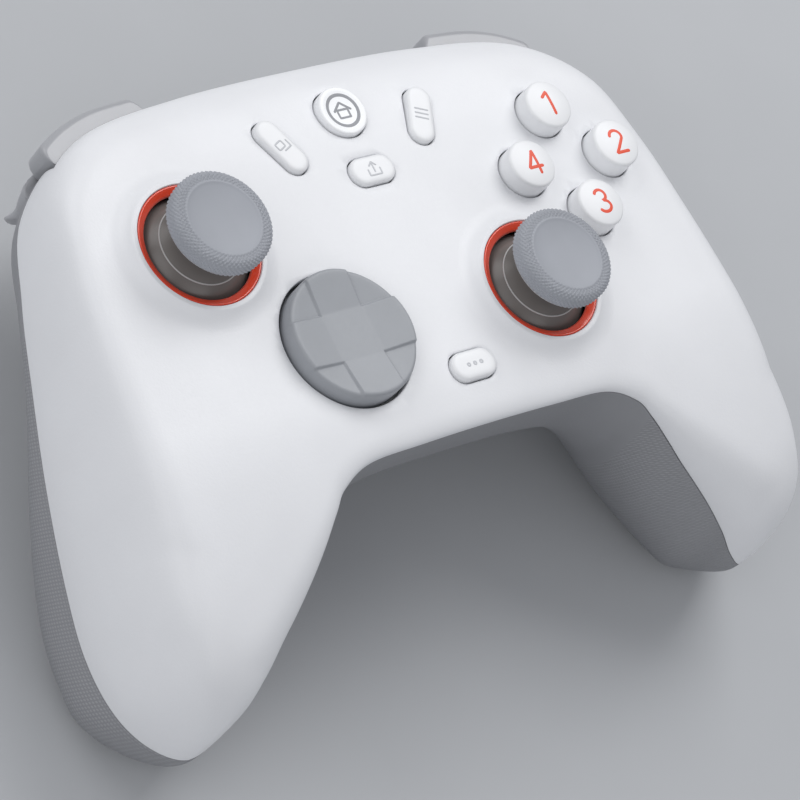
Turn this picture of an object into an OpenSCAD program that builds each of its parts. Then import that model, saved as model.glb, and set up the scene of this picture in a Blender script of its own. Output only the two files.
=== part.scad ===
/* [Housing] */
// Width across the grips, measured at the seam
body_w = 153.6; // [150:0.2:160]
// Distance from the layout datum up to the top edge
top_reach = 66; // [65:0.5:70]
// Distance from the layout datum down to the grip tips
grip_reach = 41.3; // [39:0.1:45]
// Depth of the grips' lowest point below the stick rings
grip_depth = 48; // [46:0.5:52]
// Depth of the flat back panel below the stick rings
panel_depth = 28; // [28:0.5:30]
// Height of the stick collars above the face
collar_h = 1.5; // [1.3:0.1:1.7]
// Wall of both shells
wall = 2.2; // [2:0.1:2.4]
// Gap between the shells along the seam
seam_gap = 0.2; // [0.1:0.05:0.3]

/* [Thumbsticks] */
// Left stick, distance from the centre line
left_stick_x = 41.5; // [41:0.1:42.5]
// Left stick, height on the face
left_stick_y = 32.6; // [31:0.1:33]
// Right stick, distance from the centre line
right_stick_x = 22; // [21.5:0.1:22.5]
// Right stick, height on the face
right_stick_y = 11.2; // [10.5:0.1:12]
// Outer radius of the coloured ring
ring_r = 11.4; // [11.2:0.1:11.8]
// Inner radius of the coloured ring
ring_bore = 9.9; // [9.7:0.1:10.2]
// Radius of the thumb cap
cap_r = 9.3; // [8.6:0.1:9.4]
// Height of the thumb cap's top above the ring
cap_top = 9; // [8.6:0.1:10]
// Depth of the tilt axes below the ring
pivot_depth = 10; // [9.8:0.1:10.2]
// Radius of the dome under the cap
dome_r = 12.4; // [12.2:0.1:12.5]
// Press travel of each stick
stick_travel = 0.5; // [0.3:0.1:0.6]

/* [Face controls] */
// Centre of the four buttons, distance from the centre line
face_x = 41.5; // [41:0.1:42]
// Centre of the four buttons, height on the face
face_y = 31.6; // [31:0.1:32.5]
// Distance of each button from the centre of the four
face_pitch = 10.3; // [10:0.1:10.8]
// Radius of a face button
button_r = 4.8; // [4.5:0.1:5]
// Height of a button's crown above the ring plane
button_top = 2.4; // [2:0.1:3]
// Clearance of a key in its guide hole
key_gap = 0.25; // [0.2:0.05:0.35]
// Travel of a face button
button_travel = 1.2; // [0.8:0.1:1.4]
// Travel of a small key
key_travel = 0.4; // [0.2:0.1:0.5]
// Cross pad, distance from the centre line
dpad_x = 22; // [21.5:0.1:22.5]
// Cross pad, height on the face
dpad_y = 10.2; // [9.8:0.1:10.6]
// Radius of the cross pad's disc
dpad_r = 12.1; // [11.8:0.1:12.3]
// Gap round the cross pad's disc
dpad_gap = 0.55; // [0.5:0.05:0.7]
// Width of an arm of the cross
dpad_arm = 9; // [8:0.1:10]
// View and menu keys, distance from the centre line
view_x = 15.7; // [15:0.1:16.5]
// View and menu keys, height on the face
view_y = 46.7; // [46:0.1:47.5]
// Length of the view and menu keys
view_l = 11.5; // [10.5:0.1:12]
// Width of the view and menu keys
view_w = 5; // [4.6:0.1:5.4]
// Lean of the view and menu keys from upright
view_lean = 24; // [15:1:30]
// Share key, height on the face
share_y = 38.7; // [38:0.1:39.2]
// Mode key, height on the face
mode_y = -0.2; // [-0.6:0.1:0.4]
// Length of the share and mode keys
pill_l = 9.5; // [8.6:0.1:10]
// Width of the share and mode keys
pill_w = 5.3; // [4.8:0.1:5.6]
// Home key, height on the face
home_y = 50.6; // [50.2:0.1:51]
// Radius of the home key
home_r = 4.8; // [4.6:0.1:5]

/* [Shoulders] */
// How far the bumpers stand out beyond the housing's edge
bumper_proud = 2.8; // [2.4:0.1:3.2]
// Depth of a bumper's upper edge below the ring plane
bumper_top = 9.4; // [9.2:0.1:9.8]
// Height of a bumper
bumper_h = 9.4; // [9:0.1:9.6]
// Radius of a bumper's pivot post
bumper_post_r = 1.5; // [1.3:0.1:1.7]
// Width of a trigger's paddle
trigger_w = 32; // [30:0.5:33]
// Depth of the trigger axis below the ring plane
trigger_axis_depth = 22; // [21.8:0.1:22.4]
// Turn of the trigger axis in plan
trigger_turn = 25; // [24:0.5:26]
// Radius of a trigger's hinge pin
pin_r = 1.25; // [1.1:0.05:1.4]
// Running clearance of pins in their bores
run_gap = 0.05; // [0.03:0.01:0.08]

/* [Inside] */
// Height of the tilt axes above the main board
pivot_height = 6.5; // [6.4:0.1:6.8]
// Thickness of the main board
board_t = 1.6; // [1.2:0.1:1.8]
// Length of the battery
battery_l = 42; // [36:1:44]
// Width of the battery
battery_w = 28; // [24:1:30]
// Thickness of the battery
battery_t = 5.2; // [4.6:0.1:5.6]
// Radius of a rumble motor
motor_r = 6.5; // [6:0.1:6.8]
// Length of a rumble motor
motor_l = 17; // [15:0.5:18]
// Radius of the screw shanks
screw_r = 1.2; // [1:0.1:1.4]

/* [Hidden] */
$fn = 48;
EPS = 0.01;

WHITE = "#e9eaec";
GREY = "#96989b";
LIGHT = "#cfd1d3";
RUBBER = "#8d9096";
ORANGE = "#d9482b";
DARK = "#4a4744";
STEEL = "#b9bcc0";
BOARD = "#1f5a3a";

// Housing form. The seam line is drawn at these sizes and follows the driving ones.
drawn_half_w = 76.8;
drawn_top = 66;
drawn_tip = 41.3;
half_w = body_w / 2;
face_z0 = -collar_h;
side_drop = 3;
grip_drop = 12;
top_drop = 4;
front_fullness = 2.5;
back_fullness = 2.1;
front_tip_round = 16;
back_tip_round = 12;
front_lean = 0.6;
steps_per_station = 3;
edge_steps = 4;
flat_steps = 4;

// Seam stations, right half: x, y, z, front rounding, back rounding, back bulge.
outer_stations = [
    [0, 66, -11, 9, 10, 0],
    [26, 65, -12, 10, 10, 0],
    [47, 60.5, -14, 10, 11, 0],
    [60, 51, -17, 10, 13, 0],
    [66, 38, -20, 11, 14, 0],
    [69, 24, -23.5, 14, 14, 1],
    [72, 8, -27.5, 17, 14, 2.5],
    [75.2, -8, -31, 19, 14, 4.5],
    [76.8, -20, -33.3, 20, 13, 5.5],
    [75.5, -30, -34.8, 19, 13, 6],
    [71, -37.5, -35.8, 17, 12, 4.5]
];
inner_stations = [
    [0, -10.3, -4.6, 4, 10, 0],
    [15, -10.5, -4.6, 4, 10, 0],
    [27, -11, -4.8, 4, 10, 1],
    [33.5, -13.8, -5.9, 4.5, 12, 2.5],
    [36.4, -17, -7.6, 4.5, 13, 3.5],
    [39.8, -21.2, -10.6, 5, 14, 4],
    [43, -24.9, -13.7, 6, 14, 4],
    [46.9, -28.9, -17.2, 7, 14, 4],
    [50.8, -32.6, -21, 8, 13, 4],
    [54.9, -36.8, -25.6, 10, 12, 3],
    [59, -39.9, -30.8, 12, 12, 2]
];
tip_station = [64.5, -41.3, -35.5, 15, 12, 2];
station_count = len(outer_stations);

// Places that follow the housing outline.
function hx(x) = x * half_w / drawn_half_w;
function hy(y) = y > 0 ? y * top_reach / drawn_top : y * grip_reach / drawn_tip;
function nx(x) = x * drawn_half_w / half_w;
function ny(y) = y > 0 ? y * drawn_top / top_reach : y * drawn_tip / grip_reach;
function smooth(t) = let (c = min(max(t, 0), 1)) c * c * (3 - 2 * c);
function mix(a, b, t) = a + (b - a) * t;

// Height of the face and of the back above any point of the plan.
function face_z(x, y) =
    face_z0
    - side_drop * pow(max((abs(nx(x)) - 34) / 43, 0), 2)
    - grip_drop * pow(max((2 - ny(y)) / 42, 0), 1.8)
    - top_drop * pow(max((ny(y) - 44) / 20, 0), 2);
function back_z(x, y) =
    -panel_depth
    - (grip_depth - panel_depth) * smooth((abs(nx(x)) - 24) / 34) * smooth((34 - ny(y)) / 50);

// Seam lines as splines through the stations, moved inwards by inset.
function fitted(p) = [hx(p[0]), hy(p[1]), p[2], p[3], p[4], p[5]];
function mirrored(p) = [-p[0], p[1], p[2], p[3], p[4], p[5]];
function moved_in(a, p, b, inset, hand) =
    let (t = [b[0] - a[0], b[1] - a[1]], r = norm(t))
    [p[0] + hand * inset * t[1] / r, p[1] - hand * inset * t[0] / r, p[2],
     max(p[3] - inset, 1), max(p[4] - inset, 1), p[5]];
function inset_stations(own, other, inset, hand) =
    let (
        s = [for (p = concat(own, [tip_station])) fitted(p)],
        line = concat([mirrored(s[1])], s, [fitted(other[station_count - 1])])
    )
    [for (k = [1:station_count + 1]) moved_in(line[k - 1], line[k], line[k + 1], inset, hand)];
function seam_line(own, other) = concat([mirrored(own[1])], own, [other[station_count - 1]]);
function outer_in(inset) = inset_stations(outer_stations, inner_stations, inset, 1);
function inner_in(inset) = inset_stations(inner_stations, outer_stations, inset, -1);
function line_at(line, q) =
    let (
        k = min(floor(q), station_count - 1),
        t = q - k,
        a = line[k],
        b = line[k + 1],
        c = line[k + 2],
        d = line[k + 3]
    )
    0.5 * (2 * b + (c - a) * t + (2 * a - 5 * b + 4 * c - d) * t * t + (3 * b - a - 3 * c + d) * pow(t, 3));

// One rib of a skin, from the outer seam over the surface to the inner seam.
function rounded(t, n) = t >= 1 ? 1 : pow(1 - pow(1 - t, n), 1 / n);
function rib_point(o, i, s, out, h, front, inset) =
    let (
        span = [i[0] - o[0], i[1] - o[1]],
        u = span / norm(span),
        x = o[0] + u[0] * (s + out),
        y = o[1] + u[1] * (s + out),
        low = mix(o[2], i[2], s / norm(span)) - (front ? 0 : seam_gap),
        high = front ? face_z(x, y) - inset : back_z(x, y) + inset
    )
    [x, y, mix(low, high, h)];
function rib(outer, inner, q, front, inset) =
    let (
        o = line_at(outer, q),
        i = line_at(inner, q),
        span = norm([i[0] - o[0], i[1] - o[1]]),
        n = front ? front_fullness : back_fullness,
        wo = min(front ? o[3] : o[4], 0.48 * span),
        wi = min(front ? i[3] : i[4], 0.48 * span),
        bo = front ? -front_lean * o[5] : o[5],
        bi = front ? 0 : i[5],
        tip = outer[station_count + 1],
        reach = norm([(o[0] + i[0]) / 2 - tip[0], (o[1] + i[1]) / 2 - tip[1]]),
        f = rounded(reach / ((front ? front_tip_round : back_tip_round) - inset), n)
    )
    concat(
        [for (k = [0:edge_steps])
            let (a = 90 * k / edge_steps)
            rib_point(o, i, wo * (1 - pow(cos(a), 2 / n)), -bo * sin(2 * a), f * pow(sin(a), 2 / n), front, inset)],
        [for (k = [1:flat_steps - 1])
            rib_point(o, i, mix(wo, span - wi, k / flat_steps), 0, f, front, inset)],
        [for (k = [edge_steps:-1:0])
            let (a = 90 * k / edge_steps)
            rib_point(o, i, span - wi * (1 - pow(cos(a), 2 / n)), bi * sin(2 * a), f * pow(sin(a), 2 / n), front, inset)]
    );

// A whole skin from the left grip tip to the right one, with the two tips at the end of the list.
rib_last = station_count * steps_per_station - 1;
function skin(front, inset) =
    let (
        o = outer_in(inset),
        i = inner_in(inset),
        outer = seam_line(o, i),
        inner = seam_line(i, o),
        right = [for (k = [0:rib_last]) rib(outer, inner, k / steps_per_station, front, inset)],
        tip = [o[station_count][0], o[station_count][1], o[station_count][2] - (front ? 0 : seam_gap)]
    )
    concat(
        [for (k = [rib_last:-1:1]) for (p = right[k]) [-p[0], p[1], p[2]]],
        [for (r = right) for (p = r) p],
        [[-tip[0], tip[1], tip[2]], tip]
    );
function quad(a, b, c, d, turn) = turn ? [[a, b, c], [a, c, d]] : [[a, c, b], [a, d, c]];
function tri(a, b, c, turn) = turn ? [a, b, c] : [a, c, b];
cols = 2 * edge_steps + flat_steps + 1;
rows = 2 * rib_last + 1;
skin_size = rows * cols + 2;
function skin_faces(start, turn) =
    let (left = start + rows * cols, right = left + 1, last = start + (rows - 1) * cols)
    concat(
        [for (r = [0:rows - 2]) for (c = [0:cols - 2])
            let (a = start + r * cols + c)
            for (f = quad(a, a + cols, a + cols + 1, a + 1, turn)) f],
        [for (c = [0:cols - 2]) tri(start + c, start + c + 1, left, turn)],
        [for (c = [0:cols - 2]) tri(last + c + 1, last + c, right, turn)]
    );
function rim_faces(turn) =
    let (
        top = concat([rows * cols], [for (r = [0:rows - 1]) r * cols], [rows * cols + 1]),
        low = concat([rows * cols], [for (r = [0:rows - 1]) r * cols + cols - 1], [rows * cols + 1])
    )
    concat(
        [for (k = [0:rows]) for (f = quad(top[k + 1], top[k], top[k] + skin_size, top[k + 1] + skin_size, turn)) f],
        [for (k = [0:rows]) for (f = quad(low[k], low[k + 1], low[k + 1] + skin_size, low[k] + skin_size, turn)) f]
    );
module moulded_shell(front) {
    polyhedron(
        points = concat(skin(front, 0), skin(front, wall)),
        faces = concat(skin_faces(0, front), skin_faces(skin_size, !front), rim_faces(front)),
        convexity = 10
    );
}

// Shared places and levels.
left_stick = [-left_stick_x, left_stick_y];
right_stick = [right_stick_x, right_stick_y];
dpad_at = [-dpad_x, dpad_y];
pivot_z = -pivot_depth;
board_top = pivot_z - pivot_height;
inner_face = face_z0 - wall;
panel_floor = -panel_depth + wall;
north = [face_x, face_y + face_pitch];
east = [face_x + face_pitch, face_y];
south = [face_x, face_y - face_pitch];
west = [face_x - face_pitch, face_y];
faces_at = [north, east, south, west];
view_at = [-view_x, view_y];
menu_at = [view_x, view_y];
share_at = [0, share_y];
mode_at = [0, mode_y];
home_at = [0, home_y];
small_keys = [view_at, menu_at, share_at, mode_at, home_at];
board_posts = [[-16, 30], [16, 30], [0, 14]];
grip_post = [hx(62), hy(-29)];
top_post = [hx(16), hy(56.2)];
shell_posts = [grip_post, top_post];
post_r = 3.1;
post_split = -15;
post_gap = 0.1;
head_r = 1.9;
head_h = 1.6;
well_r = 2.2;
well_floor = 3;
grip_split = -26;

module both_sides() {
    children();
    mirror([1, 0, 0]) children();
}
module at(p, z = 0) {
    translate([p[0], p[1], z]) children();
}
module slab(p, z0, z1) {
    translate([p[0], p[1], z0]) linear_extrude(z1 - z0) children();
}
module pill(l, w) {
    square([l - w, w], center = true);
    for (s = [-1, 1]) translate([s * (l - w) / 2, 0]) circle(d = w);
}
module rod(p, z0, z1, r) {
    translate([p[0], p[1], z0]) cylinder(h = z1 - z0, r = r);
}

// Front shell
collar_r = 15.6;
collar_lip = 0.9;
ring_seat = 2.2;
collar_root = 0.6;
module collar_profile() {
    rise = [for (k = [0:6])
        let (t = k / 6)
        [mix(ring_r + collar_lip, collar_r, t), mix(face_z0, 0, pow(1 - t, 2.4))]];
    polygon(concat(
        [[ring_r - collar_lip, face_z0 - collar_root], [ring_r - collar_lip, 0]],
        rise,
        [[collar_r, face_z0 - collar_root]]
    ));
}
module collar(p) {
    at(p) rotate_extrude() collar_profile();
}
module stick_hole(p) {
    rod(p, -ring_seat, EPS + collar_h, ring_r + run_gap);
    rod(p, inner_face - wall, 0, ring_r - collar_lip / 2);
    at(p, inner_face - EPS) cylinder(h = wall / 2, r1 = ring_r + collar_lip, r2 = ring_r - collar_lip / 2);
}
module key_holes() {
    for (p = faces_at) rod(p, inner_face - wall, collar_h, button_r + key_gap);
    rod(dpad_at, inner_face - wall, collar_h, dpad_r + dpad_gap);
    rod(home_at, inner_face - 2 * wall, collar_h, home_r + key_gap);
    for (s = [-1, 1])
        slab([s * view_x, view_y], inner_face - wall, collar_h)
            rotate(90 + s * -view_lean) pill(view_l + 2 * key_gap, view_w + 2 * key_gap);
    for (p = [share_at, mode_at])
        slab(p, inner_face - wall, collar_h) pill(pill_l + 2 * key_gap, pill_w + 2 * key_gap);
}
module front_posts() {
    for (p = board_posts) rod(p, board_top, inner_face + wall / 2, 2.6);
    both_sides() {
        rod(grip_post, grip_split, face_z(grip_post[0], grip_post[1]) - wall / 2, post_r);
        rod(top_post, post_split, face_z(top_post[0], top_post[1]) - wall / 2, post_r);
    }
}
module front_shell() {
    place() color(WHITE) difference() {
        union() {
            moulded_shell(true);
            collar(left_stick);
            collar(right_stick);
            front_posts();
        }
        stick_hole(left_stick);
        stick_hole(right_stick);
        key_holes();
        both_sides() bumper_notch();
        for (p = board_posts) rod(p, board_top - EPS, board_top + 6, screw_r);
        both_sides() {
            rod(grip_post, grip_split - EPS, grip_split + 9, screw_r);
            rod(top_post, post_split - EPS, post_split + 7, screw_r);
        }
    }
}

// Bumpers: a bar swept along the housing's edge
outer_seam = seam_line(outer_in(0), inner_in(0));
bumper_q = [0.92, 2.95];
bumper_back = 6.4;
bumper_round = 2.2;
bumper_inside = 4.6;
bumper_steps = 18;
function bumper_out(t) =
    mix(-bumper_inside, bumper_proud, smooth((t - 0.14) / 0.12)) - (bumper_proud - 0.2) * smooth((t - 0.86) / 0.14);
function bar_section(d0, d1, z0, z1, round) =
    let (r = min(round, 0.4 * (d1 - d0)))
    [
        [d0, z1], [d1 - r, z1], [d1 - 0.3 * r, z1 - 0.3 * r], [d1, z1 - r],
        [d1, z0 + r], [d1 - 0.3 * r, z0 + 0.3 * r], [d1 - r, z0], [d0, z0]
    ];
function bar_ring(q, section) =
    let (
        p = line_at(outer_seam, q),
        a = line_at(outer_seam, q - 0.02),
        b = line_at(outer_seam, q + 0.02),
        t = [b[0] - a[0], b[1] - a[1]] / norm([b[0] - a[0], b[1] - a[1]])
    )
    [for (s = section) [p[0] - t[1] * s[0], p[1] + t[0] * s[0], s[1]]];
module swept_bar(rings) {
    n = len(rings[0]);
    m = len(rings);
    polyhedron(
        points = [for (r = rings) for (p = r) p],
        faces = concat(
            [[for (k = [n - 1:-1:0]) k]],
            [for (r = [0:m - 2]) for (k = [0:n - 1])
                for (f = quad(r * n + k, r * n + (k + 1) % n, (r + 1) * n + (k + 1) % n, (r + 1) * n + k, true)) f],
            [[for (k = [0:n - 1]) (m - 1) * n + k]]
        ),
        convexity = 6
    );
}
bumper_z1 = -bumper_top;
bumper_z0 = -bumper_top - bumper_h;
bumper_pivot = [hx(24), hy(58.9)];
bumper_lug_r = 2.8;
bumper_lug_z = [-17, -11.5];
module bumper_bar() {
    swept_bar([for (k = [0:bumper_steps])
        let (t = k / bumper_steps)
        bar_ring(mix(bumper_q[0], bumper_q[1], t),
                 bar_section(-bumper_back, bumper_out(t), bumper_z0, bumper_z1, bumper_round))]);
}
notch_gap = 0.4;
notch_press = 2;
notch_q = [1.22, 3.04];
module bumper_notch() {
    swept_bar([for (k = [0:bumper_steps])
        bar_ring(mix(notch_q[0], notch_q[1], k / bumper_steps),
                 bar_section(-bumper_back - notch_press, bumper_proud + 8,
                             bumper_z0 - notch_gap, bumper_z1 + notch_gap, bumper_round))]);
}
module bumper() {
    color(LIGHT) difference() {
        union() {
            bumper_bar();
            rod(bumper_pivot, bumper_lug_z[0], bumper_lug_z[1], bumper_lug_r);
        }
        rod(bumper_pivot, bumper_z0 - 1, bumper_z1 + 1, bumper_post_r + run_gap);
    }
}
module right_bumper() {
    place() bumper();
}
module left_bumper() {
    place() mirror([1, 0, 0]) bumper();
}

// Triggers, drawn in a frame with its x along the hinge axis and y outwards
trigger_at = [hx(43.7), hy(52.9)];
trigger_z = -trigger_axis_depth;
hub_span = [-15, 13];
hub_r = 2.7;
drum_r = 7;
drum_wall = 1.4;
drum_gap = 0.4;
paddle_u = [-15, trigger_w - 15];
paddle_top = 2.6;
paddle_out = 11.6;
paddle_low = grip_depth - trigger_axis_depth - 0.1;
finger_r = 24;
paddle_c = [1, -26];
paddle_c_r = 39.5;
trigger_gap = 0.5;
lug_t = 2.2;
lug_gap = 0.3;
lug_r = 2.6;
lug_foot = 5;
well_edge = 0.8;
spring_gap = [-3.5, 3.5];

// The part stands on the grips, centred between the bumpers and the grip tips.
back_skin = skin(false, 0);
lowest_y = min([for (p = back_skin) p[1]]);
function paddle_reach(u) = paddle_c[1] + sqrt(pow(paddle_c_r, 2) - pow(u - paddle_c[0], 2));
highest_y = max([for (u = [paddle_u[0]:0.5:paddle_c[0]])
    trigger_at[1] - u * sin(trigger_turn) + paddle_reach(u) * cos(trigger_turn)]);
mid_y = (lowest_y + highest_y) / 2;
module place() {
    translate([0, -mid_y, grip_depth]) children();
}

module trigger_frame() {
    translate([trigger_at[0], trigger_at[1], trigger_z]) rotate(-trigger_turn) children();
}
module along_axis(u0, u1) {
    translate([u0, 0, 0]) rotate([90, 0, 90]) linear_extrude(u1 - u0) children();
}
module paddle_profile() {
    difference() {
        polygon([
            [3, paddle_top - 2.4], [8.5, paddle_top], [paddle_out - 1.6, paddle_top],
            [paddle_out, paddle_top - 2.2], [paddle_out + 0.6, -6], [paddle_out + 0.6, -18],
            [paddle_out + 2, -paddle_low + 1], [paddle_out + 0.8, -paddle_low],
            [paddle_out - 1, -paddle_low + 0.8], [7.2, -14], [5.4, -6], [3, -3]
        ]);
        translate([paddle_out + finger_r - 1.3, -14.5]) circle(r = finger_r, $fn = 96);
    }
}
module paddle() {
    intersection() {
        along_axis(paddle_u[0], paddle_u[1]) paddle_profile();
        translate([paddle_c[0], paddle_c[1], -60]) cylinder(h = 80, r = paddle_c_r, $fn = 96);
        translate([0, 0, -60]) linear_extrude(80) union() {
            translate([paddle_u[0], -5]) square([trigger_w - 4, 30]);
            translate([paddle_u[1] - 12, 7.4]) circle(r = 12);
        }
    }
}
module trigger() {
    color(LIGHT) difference() {
        union() {
            paddle();
            along_axis(hub_span[0], hub_span[1]) difference() {
                circle(r = drum_r);
                circle(r = drum_r - drum_wall);
                translate([-20, 0]) square([40, 20]);
            }
            for (u = [hub_span[0], spring_gap[0] - 2, spring_gap[1], hub_span[1] - 2])
                along_axis(u, u + 2) difference() {
                    union() {
                        circle(r = hub_r);
                        intersection() {
                            circle(r = drum_r - EPS);
                            translate([-20, -20]) square([40, 20]);
                        }
                        polygon([[0, hub_r], [8.6, paddle_top], [7, -6], [0, -hub_r]]);
                    }
                }
            along_axis(hub_span[0], spring_gap[0]) circle(r = hub_r);
            along_axis(spring_gap[1], hub_span[1]) circle(r = hub_r);
        }
        along_axis(hub_span[0] - 5, hub_span[1] + 5) circle(r = pin_r + run_gap);
    }
}
module trigger_well() {
    trigger_frame() {
        along_axis(hub_span[0] - trigger_gap, hub_span[1] + trigger_gap) circle(r = drum_r + drum_gap);
        along_axis(paddle_u[0] - trigger_gap, paddle_u[1] + trigger_gap)
            translate([well_edge, -40]) square([40, 40 + paddle_top + 0.4]);
    }
}
module trigger_lugs() {
    trigger_frame() for (u = [hub_span[0] - lug_gap - lug_t, hub_span[1] + lug_gap])
        along_axis(u, u + lug_t) {
            circle(r = lug_r);
            translate([-lug_foot, trigger_axis_depth - panel_depth + wall / 2])
                square([lug_foot - 0.3, panel_depth - wall / 2 - trigger_axis_depth + lug_r]);
        }
}
module trigger_pin() {
    color(STEEL) trigger_frame()
        along_axis(hub_span[0] - lug_gap - lug_t, hub_span[1] + lug_gap + lug_t) circle(r = pin_r);
}
module right_trigger() {
    place() trigger_frame() trigger();
}
module left_trigger() {
    place() mirror([1, 0, 0]) trigger_frame() trigger();
}
module right_trigger_pin() {
    place() trigger_pin();
}
module left_trigger_pin() {
    place() mirror([1, 0, 0]) trigger_pin();
}

// Torsion spring on the trigger pin
coil_turns = 4;
coil_r = 2.1;
coil_wire = 0.35;
coil_rings = 12;
coil_sides = 6;
coil_pitch = 1.1;
module trigger_spring() {
    count = coil_turns * coil_rings;
    rings = [for (k = [0:count])
        let (a = 360 * k / coil_rings, u = coil_pitch * (k / coil_rings - coil_turns / 2))
        [for (s = [0:coil_sides - 1])
            let (b = 360 * s / coil_sides, r = coil_r + coil_wire * cos(b))
            [u + coil_wire * sin(b), r * cos(a), r * sin(a)]]];
    color(STEEL) trigger_frame() swept_bar(rings);
}
module right_trigger_spring() {
    place() trigger_spring();
}
module left_trigger_spring() {
    place() mirror([1, 0, 0]) trigger_spring();
}

// Back shell
usb_w = 8.94;
usb_h = 3.2;
usb_l = 7.4;
usb_gap = 0.3;
usb_z = board_top + usb_h / 2;
usb_face = hy(66) - 0.6;
cradle_t = 2;
cradle_w = 8;
motor_at = [hx(56), hy(-15)];
motor_z = -27;
module usb_cut() {
    translate([0, usb_face + 3, usb_z]) rotate([90, 0, 0])
        linear_extrude(12) pill(usb_w + 2 * usb_gap, usb_h + 2 * usb_gap);
}
module back_posts() {
    both_sides() {
        rod(grip_post, back_z(grip_post[0], grip_post[1]) + wall / 2, grip_split - post_gap, post_r);
        rod(top_post, panel_floor - wall / 2, post_split - post_gap, post_r);
        rod(bumper_pivot, panel_floor + 1, bumper_lug_z[1] + 0.5, bumper_post_r);
    }
}
module back_wells() {
    both_sides() {
        rod(grip_post, -grip_depth - 1, grip_split - well_floor, well_r);
        rod(grip_post, -grip_depth, grip_split + 1, screw_r + run_gap);
        rod(top_post, -grip_depth, post_split - well_floor, well_r);
        rod(top_post, -grip_depth, post_split + 1, screw_r + run_gap);
    }
}
module motor_cradle() {
    for (y = [motor_at[1] + 3, motor_at[1] + motor_l - 3 - cradle_t])
        difference() {
            translate([motor_at[0] - cradle_w / 2, y, back_z(motor_at[0], y) + wall / 2])
                cube([cradle_w, cradle_t, motor_z - back_z(motor_at[0], y) - wall / 2]);
            translate([motor_at[0], y - 1, motor_z]) rotate([-90, 0, 0])
                cylinder(h = cradle_t + 2, r = motor_r + 2 * run_gap);
        }
}
module back_shell() {
    place() color(GREY) difference() {
        union() {
            difference() {
                moulded_shell(false);
                both_sides() trigger_well();
            }
            back_posts();
            both_sides() motor_cradle();
            both_sides() trigger_lugs();
        }
        both_sides() bumper_notch();
        both_sides() trigger_frame()
            along_axis(hub_span[0] - lug_gap - lug_t - EPS, hub_span[1] + lug_gap + lug_t + EPS)
                circle(r = pin_r + run_gap);
        back_wells();
        usb_cut();
    }
}

// Thumbsticks
cap_rim = 3.6;
cap_dish = 0.8;
cap_dish_r = 6.8;
neck_r = 4.4;
dome_wall = 1;
dome_rim_angle = 80;
lever_r = 2;
lever_top = 5.5;
hub_ball = 3.2;
hub_pin = 1;
yoke_in = 3.7;
yoke_out = 5.2;
yoke_h = 2.4;
yoke_pin = 1.2;
box_half = 7.5;
box_wall = 1.4;
box_top = 2.6;
module ball_joint_at(p) {
    at(p, pivot_z) children();
}
module cap_profile() {
    top = cap_top + pivot_depth;
    under = top - cap_rim;
    inner_r = dome_r - dome_wall;
    dome_out = [for (a = [dome_rim_angle:-10:30]) [dome_r * sin(a), dome_r * cos(a)]];
    dome_in = [for (a = [30:10:dome_rim_angle]) [inner_r * sin(a), inner_r * cos(a)]];
    polygon(concat(
        [[0, inner_r], [2, inner_r - 0.1]],
        dome_in,
        dome_out,
        [[neck_r, dome_r * cos(asin(neck_r / dome_r))], [neck_r, under - 1.6],
         [cap_r - 1, under - 0.3], [cap_r, under + 0.3], [cap_r, top - 0.7], [cap_r - 0.9, top],
         [cap_dish_r, top], [cap_dish_r * 0.6, top - cap_dish * 0.7], [0, top - cap_dish]]
    ));
}
module stick_cap(p) {
    place() color(RUBBER) ball_joint_at(p) difference() {
        rotate_extrude() cap_profile();
        cylinder(h = pivot_depth + lever_top, r = lever_r + run_gap);
    }
}
module stick_lever(p) {
    place() color(STEEL) ball_joint_at(p)
        translate([0, 0, -4.4]) cylinder(h = 4.4 + pivot_depth + lever_top - run_gap, r = lever_r);
}
module stick_hub(p) {
    place() color(DARK) ball_joint_at(p) difference() {
        union() {
            sphere(r = hub_ball);
            rotate([90, 0, 0]) cylinder(h = 2 * yoke_out - 0.6, r = hub_pin, center = true);
        }
        cylinder(h = 20, r = lever_r + run_gap, center = true);
    }
}
module stick_yoke(p) {
    place() color(DARK) ball_joint_at(p) difference() {
        union() {
            cylinder(h = yoke_h, r = yoke_out, center = true);
            rotate([0, 90, 0]) cylinder(h = 2 * box_half - 0.2, r = yoke_pin, center = true);
        }
        cylinder(h = 20, r = yoke_in, center = true);
        rotate([90, 0, 0]) cylinder(h = 20, r = hub_pin + run_gap, center = true);
    }
}
module stick_housing(p) {
    place() color(STEEL) at(p, board_top) difference() {
        translate([-box_half, -box_half, 0]) cube([2 * box_half, 2 * box_half, pivot_height + box_top]);
        translate([box_wall - box_half, box_wall - box_half, 0.8])
            cube([2 * (box_half - box_wall), 2 * (box_half - box_wall), pivot_height + box_top - 1.6]);
        translate([0, 0, 1]) cylinder(h = 20, r = box_half - box_wall - 0.1);
        translate([0, 0, pivot_height]) rotate([0, 90, 0])
            cylinder(h = 40, r = yoke_pin + run_gap, center = true);
    }
}
module stick_ring(p) {
    place() color(ORANGE) at(p) rotate_extrude() polygon([
        [ring_r, -ring_seat], [ring_r, -0.2], [ring_r - 0.2, 0], [ring_bore + 0.2, -0.7],
        [ring_bore, -0.9], [ring_bore, -1.1], [ring_r - collar_lip, -ring_seat]
    ]);
}
module left_stick_cap() { stick_cap(left_stick); }
module right_stick_cap() { stick_cap(right_stick); }
module left_stick_lever() { stick_lever(left_stick); }
module right_stick_lever() { stick_lever(right_stick); }
module left_stick_hub() { stick_hub(left_stick); }
module right_stick_hub() { stick_hub(right_stick); }
module left_stick_yoke() { stick_yoke(left_stick); }
module right_stick_yoke() { stick_yoke(right_stick); }
module left_stick_housing() { stick_housing(left_stick); }
module right_stick_housing() { stick_housing(right_stick); }
module left_stick_ring() { stick_ring(left_stick); }
module right_stick_ring() { stick_ring(right_stick); }

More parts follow.
